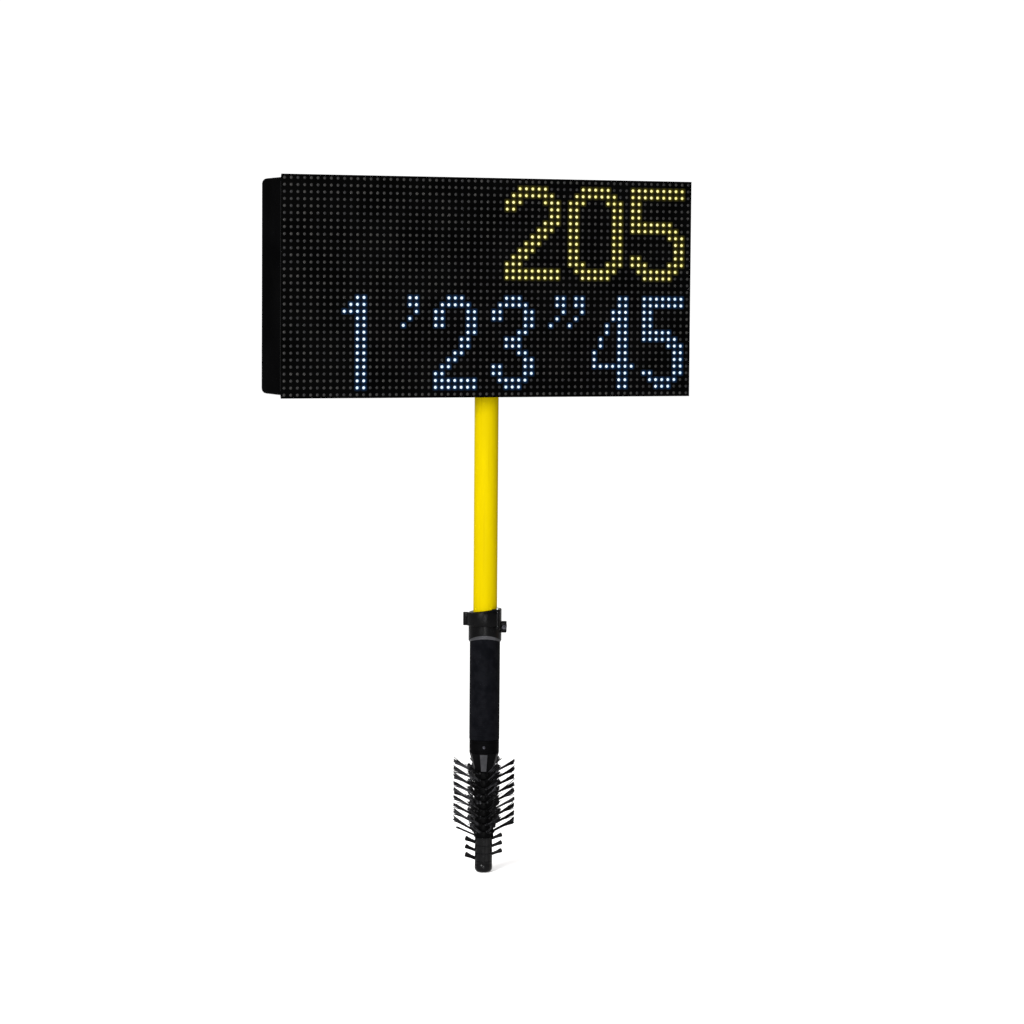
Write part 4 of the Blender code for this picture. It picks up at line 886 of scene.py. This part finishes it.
def make_cone():
    """Ten tapering flats with softened corners below the ring, and the spigot inside the sleeve."""
    low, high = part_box("anchor_cone")
    step = tau / CONE_FLATS
    ring_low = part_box("lock_ring")[0].z

    def flats(corner_radius):
        def radius(angle):
            turn = (angle - FRONT_ANGLE + step / 2) % step - step / 2
            return min(corner_radius * cos(step / 2) / cos(turn), corner_radius * 0.985)
        return radius

    top = ring_low - 0.3 * MM
    profile = [(CORE_BORE, low.z), (flats(11.4 * MM), low.z), (flats(11.85 * MM), low.z + 0.6 * MM)]
    profile += [(flats(17.6 * MM), top - 0.9 * MM), (17.4 * MM, top - 0.5 * MM), (17.5 * MM, top - 0.3 * MM)]
    profile += [(17.4 * MM, top), (14.2 * MM, top), (14.2 * MM, high.z), (0, high.z)]
    bm = lathe(profile + [(0, 20.3 * MM), (CORE_BORE, 20.3 * MM)], 180)
    # painted highlight: the front flat and the flat opposite it get a lighter finish
    for face in bm.faces:
        middle = face.calc_center_median()
        angle = atan2(middle.y, middle.x) - FRONT_ANGLE
        outer = middle.xy.length > 11 * MM and low.z + 0.6 * MM < middle.z < top - MM
        if outer and abs(cos(angle)) > cos(step / 2 - radians(3)):
            face.material_index = 1
    piece("cone_flats", bm, ("cone", "cone_flat"), "base", ("anchor_cone",), sharp=14)


def make_ring():
    low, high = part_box("lock_ring")
    inner, outer = SLEEVE_BORE, 17.7 * MM
    edge = 0.5 * MM
    profile = [(inner, low.z), (outer - edge, low.z), (outer, low.z + edge)]
    for groove in (low.z + 3 * MM, high.z - 3 * MM):
        profile += [(outer, groove - 0.5 * MM), (outer - 0.3 * MM, groove - 0.25 * MM)]
        profile += [(outer - 0.3 * MM, groove + 0.25 * MM), (outer, groove + 0.5 * MM)]
    profile += [(outer, high.z - edge), (outer - edge, high.z), (inner, high.z)]
    piece("ring_body", lathe(profile, 96), ("black",), "base", ("lock_ring",))


def make_grip():
    """The rubber sleeve, with a groove above its foot; it runs up into the collar's skirt."""
    low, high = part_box("grip_sleeve")
    inner, outer = SLEEVE_BORE, 18.0 * MM
    top = high.z + 5.2 * MM
    profile = [(inner, low.z), (outer - 0.5 * MM, low.z), (outer - 0.1 * MM, low.z + 0.3 * MM)]
    profile += [(outer, low.z + 0.8 * MM), (outer, low.z + 4 * MM), (outer - 0.25 * MM, low.z + 4.3 * MM)]
    profile += [(outer - 0.25 * MM, low.z + 4.9 * MM), (outer, low.z + 5.2 * MM)]
    profile += [(outer, top - 0.3 * MM), (outer - 0.3 * MM, top), (inner, top)]
    piece("grip_body", lathe(profile, 96), ("grip",), "base", ("grip_sleeve",))


# ---------------- the clamp
BOSS_RADIUS = 3.2 * MM           # the lever's boss and the lugs' round ends


def open_lathe(profile, start, stop, sides, highlight_zone):
    """Sweep a (radius, height) profile part of the way round, closed at both cut ends.

    The zone after profile point number highlight_zone gets the second finish; on the collar that is a painted
    highlight.
    """
    bm = bmesh.new()
    stations = []
    for i in range(sides + 1):
        angle = start + (stop - start) * i / sides
        stations.append([bm.verts.new(out_and_up(angle, radius(angle) if callable(radius) else radius,
                                                 height(angle) if callable(height) else height))
                         for radius, height in profile])
    for near, far in zip(stations, stations[1:]):
        for k in range(len(profile)):
            m = (k + 1) % len(profile)
            bm.faces.new((near[k], near[m], far[m], far[k])).material_index = int(k == highlight_zone)
    bm.faces.new(list(reversed(stations[0])))
    bm.faces.new(stations[-1])
    return bm


def rounded_block(low, high, edge, segments=3):
    low, high = Vector(low), Vector(high)
    bm = bmesh.new()
    bmesh.ops.create_cube(bm, size=1)
    bmesh.ops.scale(bm, vec=high - low, verts=bm.verts)
    moved(bm, (low + high) / 2)
    bmesh.ops.bevel(bm, geom=bm.edges[:], offset=edge, segments=segments, profile=0.5, affect="EDGES")
    return bm


def rounded_plate(outline, low, high, edge):
    bm = outline_plate(outline, low, high)
    rims = [e for e in bm.edges if abs(e.verts[0].co.z - e.verts[1].co.z) < 1e-9]
    bmesh.ops.bevel(bm, geom=rims, offset=edge, segments=3, profile=0.5, affect="EDGES")
    return bm


def swung(bm, angle):
    bmesh.ops.rotate(bm, cent=(0, 0, 0), matrix=Matrix.Rotation(angle, 3, "Z"), verts=bm.verts)
    return bm


def merge(bm, other):
    """Add one bmesh's shapes to another."""
    carrier = bpy.data.meshes.new("carrier")
    other.to_mesh(carrier)
    other.free()
    bm.from_mesh(carrier)
    bpy.data.meshes.remove(carrier)
    return bm


def make_collar():
    """A split collar with an arched, chamfered skirt, a sloping top, pinch ears and hinge lugs."""
    low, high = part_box("clamp_collar")
    lever_low, lever_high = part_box("clamp_lever")
    outer, skirt, neck = 19.6 * MM, 18.2 * MM, 14.65 * MM
    slit = 1.0 * MM / outer

    def bottom(angle):
        return low.z + 4.6 * MM * facing(angle, FRONT_ANGLE, 1.5)

    def lip(angle):
        return bottom(angle) + 1.2 * MM + 2.9 * MM * facing(angle, FRONT_ANGLE, 1.2)

    def top(angle):
        return high.z - 2.2 * MM + 2.2 * MM * cos(angle - EAR_ANGLE)

    def above(level, rise):
        return lambda angle: level(angle) + rise * MM

    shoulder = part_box("ground_sleeve")[1].z + 0.3 * MM
    profile = [(skirt, bottom), (skirt + 0.25 * MM, bottom), (outer - 0.35 * MM, lip)]
    profile += [(outer, above(lip, 0.45)), (outer, above(top, -1.6)), (outer - 0.15 * MM, above(top, -1.0))]
    profile += [(outer - 0.5 * MM, above(top, -0.4))]
    profile += [(outer - 1.1 * MM, above(top, -0.05)), (neck + 0.4 * MM, top), (neck, above(top, -0.4))]
    profile += [(neck, shoulder), (SLEEVE_BORE, shoulder), (SLEEVE_BORE, low.z + 6.6 * MM)]
    profile += [(skirt, low.z + 6.2 * MM)]
    # painted highlight: the chamfer at the skirt's foot, profile points 1 to 2, gets the lighter clamp_lip
    # finish
    bm = open_lathe(profile, EAR_ANGLE + slit, EAR_ANGLE + tau - slit, 120, highlight_zone=1)
    collar = piece("collar_body", bm, ("clamp", "clamp_lip"), "base", ("clamp_collar",))
    pin = axis_line("lever_pin", UP)
    under, over = lever_low.z - 0.3 * MM, lever_high.z + 0.3 * MM
    window = 3.5 * MM
    carve(collar, moved(lathe([(0, under), (window, under), (window, over), (0, over)], 40), pin))

    for side, name in ((-1, "front"), (1, "rear")):
        near, far = sorted((side * 1.0 * MM, side * 5.2 * MM))
        ear = rounded_block((16.9 * MM, near, 166.5 * MM), (25.6 * MM, far, 179.7 * MM), 1.1 * MM)
        piece(f"pinch_ear_{name}", swung(ear, EAR_ANGLE), ("clamp",), "base")

    radial = pin.xy.length
    outline = [(15.6 * MM, -3.4 * MM), (15.6 * MM, 3.4 * MM)]
    outline += [(radial + BOSS_RADIUS * cos(bend), BOSS_RADIUS * sin(bend)) for bend in
                [pi / 2 - pi * step / 20 for step in range(21)]]
    levels = (("upper", over, high.z), ("lower", under - 3.6 * MM, under))
    for name, near, far in levels:
        lug = swung(rounded_plate(outline, near, far, 0.5 * MM), PIN_ANGLE)
        piece(f"hinge_lug_{name}", lug, ("clamp",), "base")


def make_lever():
    """An arm that hugs the collar, with a boss on the pin and a ridged finger tab."""
    low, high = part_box("clamp_lever")
    inner, outer = 20.1 * MM, 22.9 * MM
    start, stop = PIN_ANGLE - radians(4), radians(-184)
    steps = 44
    angles = [start + (stop - start) * n / steps for n in range(steps + 1)]
    outline = [(outer * cos(a), outer * sin(a)) for a in angles]
    end = Vector((cos(stop), sin(stop)))
    onward = Vector((end.y, -end.x))
    flare = (end * 0.87 + onward * 0.5).normalized()
    corner = Vector(outline[-1])
    tab = ((1.9, 0.0), (3.2, 0.2), (3.7, 1.0), (3.7, 2.0), (3.1, 2.7))
    outline += [tuple(corner + flare * out * MM + onward * along * MM) for out, along in tab]
    outline += [(inner * cos(stop - radians(7)), inner * sin(stop - radians(7)))]
    outline += [(inner * cos(a), inner * sin(a)) for a in reversed(angles)]
    bm = rounded_plate(outline, low.z, high.z, 0.7 * MM)
    lever = piece("lever_arm", bm, ("clamp",), "lever", ("clamp_lever",))
    pin = axis_line("lever_pin", UP)
    bore, edge = 1.65 * MM, 0.4 * MM
    profile = [(0, low.z), (BOSS_RADIUS - edge, low.z), (BOSS_RADIUS, low.z + edge)]
    profile += [(BOSS_RADIUS, high.z - edge), (BOSS_RADIUS - edge, high.z), (0, high.z)]
    carve(lever, moved(lathe(profile, 48), pin), "UNION")
    profile = [(0, low.z - MM), (bore, low.z - MM), (bore, high.z + MM), (0, high.z + MM)]
    carve(lever, moved(lathe(profile, 32), pin))
    middle = (low.z + high.z) / 2
    for n in range(5):
        level = middle + (n - 2) * 2.4 * MM
        root = corner + flare * 0.4 * MM
        ridge = rounded_block((0, -0.35 * MM, -0.45 * MM), (2.6 * MM, 0.35 * MM, 0.45 * MM), 0.25 * MM, 2)
        ridge = moved(swung(ridge, atan2(flare.y, flare.x)), (root.x, root.y, level))
        piece(f"lever_ridge_{n + 1}", ridge, ("clamp",), "lever")


# ---------------- the knob behind the case
def make_knob():
    axis = Vector((0, 1, 0))
    low, high = span("swivel_knob", axis)
    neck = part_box("case_tray")[1].y + 0.3 * MM
    wide = 17 * MM

    def lobed(scale):
        return lambda angle: wide * scale * (0.91 + 0.09 * cos(5 * angle))

    waist = 10.2 * MM
    profile = [(0, low), (2.7 * MM, low), (3 * MM, low + 0.3 * MM), (3 * MM, neck), (waist, neck)]
    profile += [(waist, neck + 2.6 * MM), (waist + 0.8 * MM, neck + 3.4 * MM)]
    profile += [(lobed(0.94), neck + 3.7 * MM), (lobed(0.99), neck + 4.4 * MM)]
    profile += [(lobed(1), neck + 5.4 * MM), (lobed(1), high - 3 * MM), (lobed(0.985), high - 1.8 * MM)]
    profile += [(lobed(0.94), high - 0.7 * MM), (lobed(0.86), high - 0.1 * MM), (lobed(0.8), high)]
    profile += [(8.4 * MM, high), (7.9 * MM, high - 0.8 * MM), (0, high - 0.8 * MM)]
    bm = aimed(lathe(profile, 120), axis_line("swivel_knob", axis), axis)
    piece("knob_body", bm, ("knob",), "knob", ("swivel_knob",))


COVER_EDGE = 0.5 * MM
COVER_RIM = 2.2 * MM
COVER_RIM_INSET = 12 * MM
COVER_RIB = 1.8 * MM


def make_cover():
    """The service cover: a plate with a raised rim and a row of finger ribs."""
    low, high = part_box("service_cover")
    corner, steps = 6 * MM, 6
    outline = []
    for quarter, (x, z) in enumerate(((high.x, high.z), (low.x, high.z), (low.x, low.z), (high.x, low.z))):
        centre = (x - corner if x == high.x else x + corner, z - corner if z == high.z else z + corner)
        start = quarter * pi / 2
        outline += arc(centre, corner, start, start + pi / 2, steps)
    bm = rounded_plate(outline, low.y, high.y, COVER_EDGE)
    for vert in bm.verts:
        vert.co = Vector((vert.co.x, vert.co.z, vert.co.y))
    near, far = high.y - 0.5 * MM, high.y + 0.7 * MM
    left, right = low.x + COVER_RIM_INSET, high.x - COVER_RIM_INSET
    foot, head = low.z + COVER_RIM_INSET, high.z - COVER_RIM_INSET
    bars = [(left, right, foot, foot + COVER_RIM), (left, right, head - COVER_RIM, head)]
    bars += [(left, left + COVER_RIM, foot, head), (right - COVER_RIM, right, foot, head)]
    for n in range(9):
        level = (foot + head) / 2 + (n - 4) * 2 * COVER_RIB
        bars.append((right - 24 * MM, right - 10 * MM, level, level + COVER_RIB))
    for x0, x1, z0, z1 in bars:
        merge(bm, rounded_block((x0, near, z0), (x1, far, z1), 0.5 * MM))
    piece("cover_panel", bm, ("cover",), "display", ("service_cover",))


# ---------------- the studio
CAMERA_AT = (-1.3554, -3.5308, 0.5808)
CAMERA_YAW = radians(21.47)
CAMERA_DOWN = radians(4.10)
CAMERA_ROLL = radians(-0.44)
CAMERA_LENS = 112.5
CAMERA_SENSOR = 36


def make_camera():
    data = bpy.data.cameras.new("camera")
    data.lens = CAMERA_LENS
    data.sensor_width = CAMERA_SENSOR
    camera = place_in_scene("camera", data)
    level = cos(CAMERA_DOWN)
    ahead = Vector((sin(CAMERA_YAW) * level, cos(CAMERA_YAW) * level, -sin(CAMERA_DOWN)))
    right = Vector((cos(CAMERA_YAW), -sin(CAMERA_YAW), 0))
    down = ahead.cross(right)
    right, down = (cos(CAMERA_ROLL) * right + sin(CAMERA_ROLL) * down,
                   -sin(CAMERA_ROLL) * right + cos(CAMERA_ROLL) * down)
    turn = Matrix((right, -down, -ahead)).transposed()
    camera.matrix_world = Matrix.Translation(CAMERA_AT) @ turn.to_4x4()
    bpy.context.scene.camera = camera


def softbox(name, place, target, size, power, colour=(1, 1, 1)):
    data = bpy.data.lights.new(name, "AREA")
    data.shape = "RECTANGLE"
    data.size, data.size_y = size
    data.energy = power
    data.color = colour
    light = place_in_scene(name, data)
    aim = (Vector(target) - Vector(place)).to_track_quat("-Z", "Y").to_matrix().to_4x4()
    light.matrix_world = Matrix.Translation(place) @ aim


def make_studio():
    world = bpy.data.worlds.new("studio")
    bpy.context.scene.world = world
    world.use_nodes = True
    background = world.node_tree.nodes["Background"]
    background.inputs["Color"].default_value = (1, 1, 1, 1)
    background.inputs["Strength"].default_value = 1.08
    softbox("key", (-2.6, -2.4, 1.5), (0, 0, 0.4), (1.1, 1.8), 300)
    softbox("front", (-1.0, -2.6, 0.0), (0, 0, 0.05), (0.3, 0.7), 60)
    softbox("warm_side", (2.2, -0.6, 0.6), (0, 0, 0.35), (0.5, 1.4), 4, (1.0, 0.4, 0.08))
    bm = bmesh.new()
    bmesh.ops.create_grid(bm, x_segments=1, y_segments=1, size=30)
    mesh = as_mesh("floor", moved(bm, (0, 0, cad_box[0].z - 0.4 * MM)))
    mesh.materials.append(studio_floor())
    floor = place_in_scene("floor", mesh)
    bpy.context.scene.view_settings.view_transform = "Standard"


# ---------------- the whole
def main():
    finish_cad_nodes()
    lit = lit_lamps()
    for level in ("lower", "upper"):
        for side in ("left", "right"):
            module_mask(level, side, lit)
            module_lamps(level, side, lit)
    make_brush()
    make_cone()
    make_ring()
    make_grip()
    make_collar()
    make_lever()
    make_knob()
    make_cover()
    make_screws()
    make_camera()
    make_studio()


main()
bpy.context.view_layer.update()
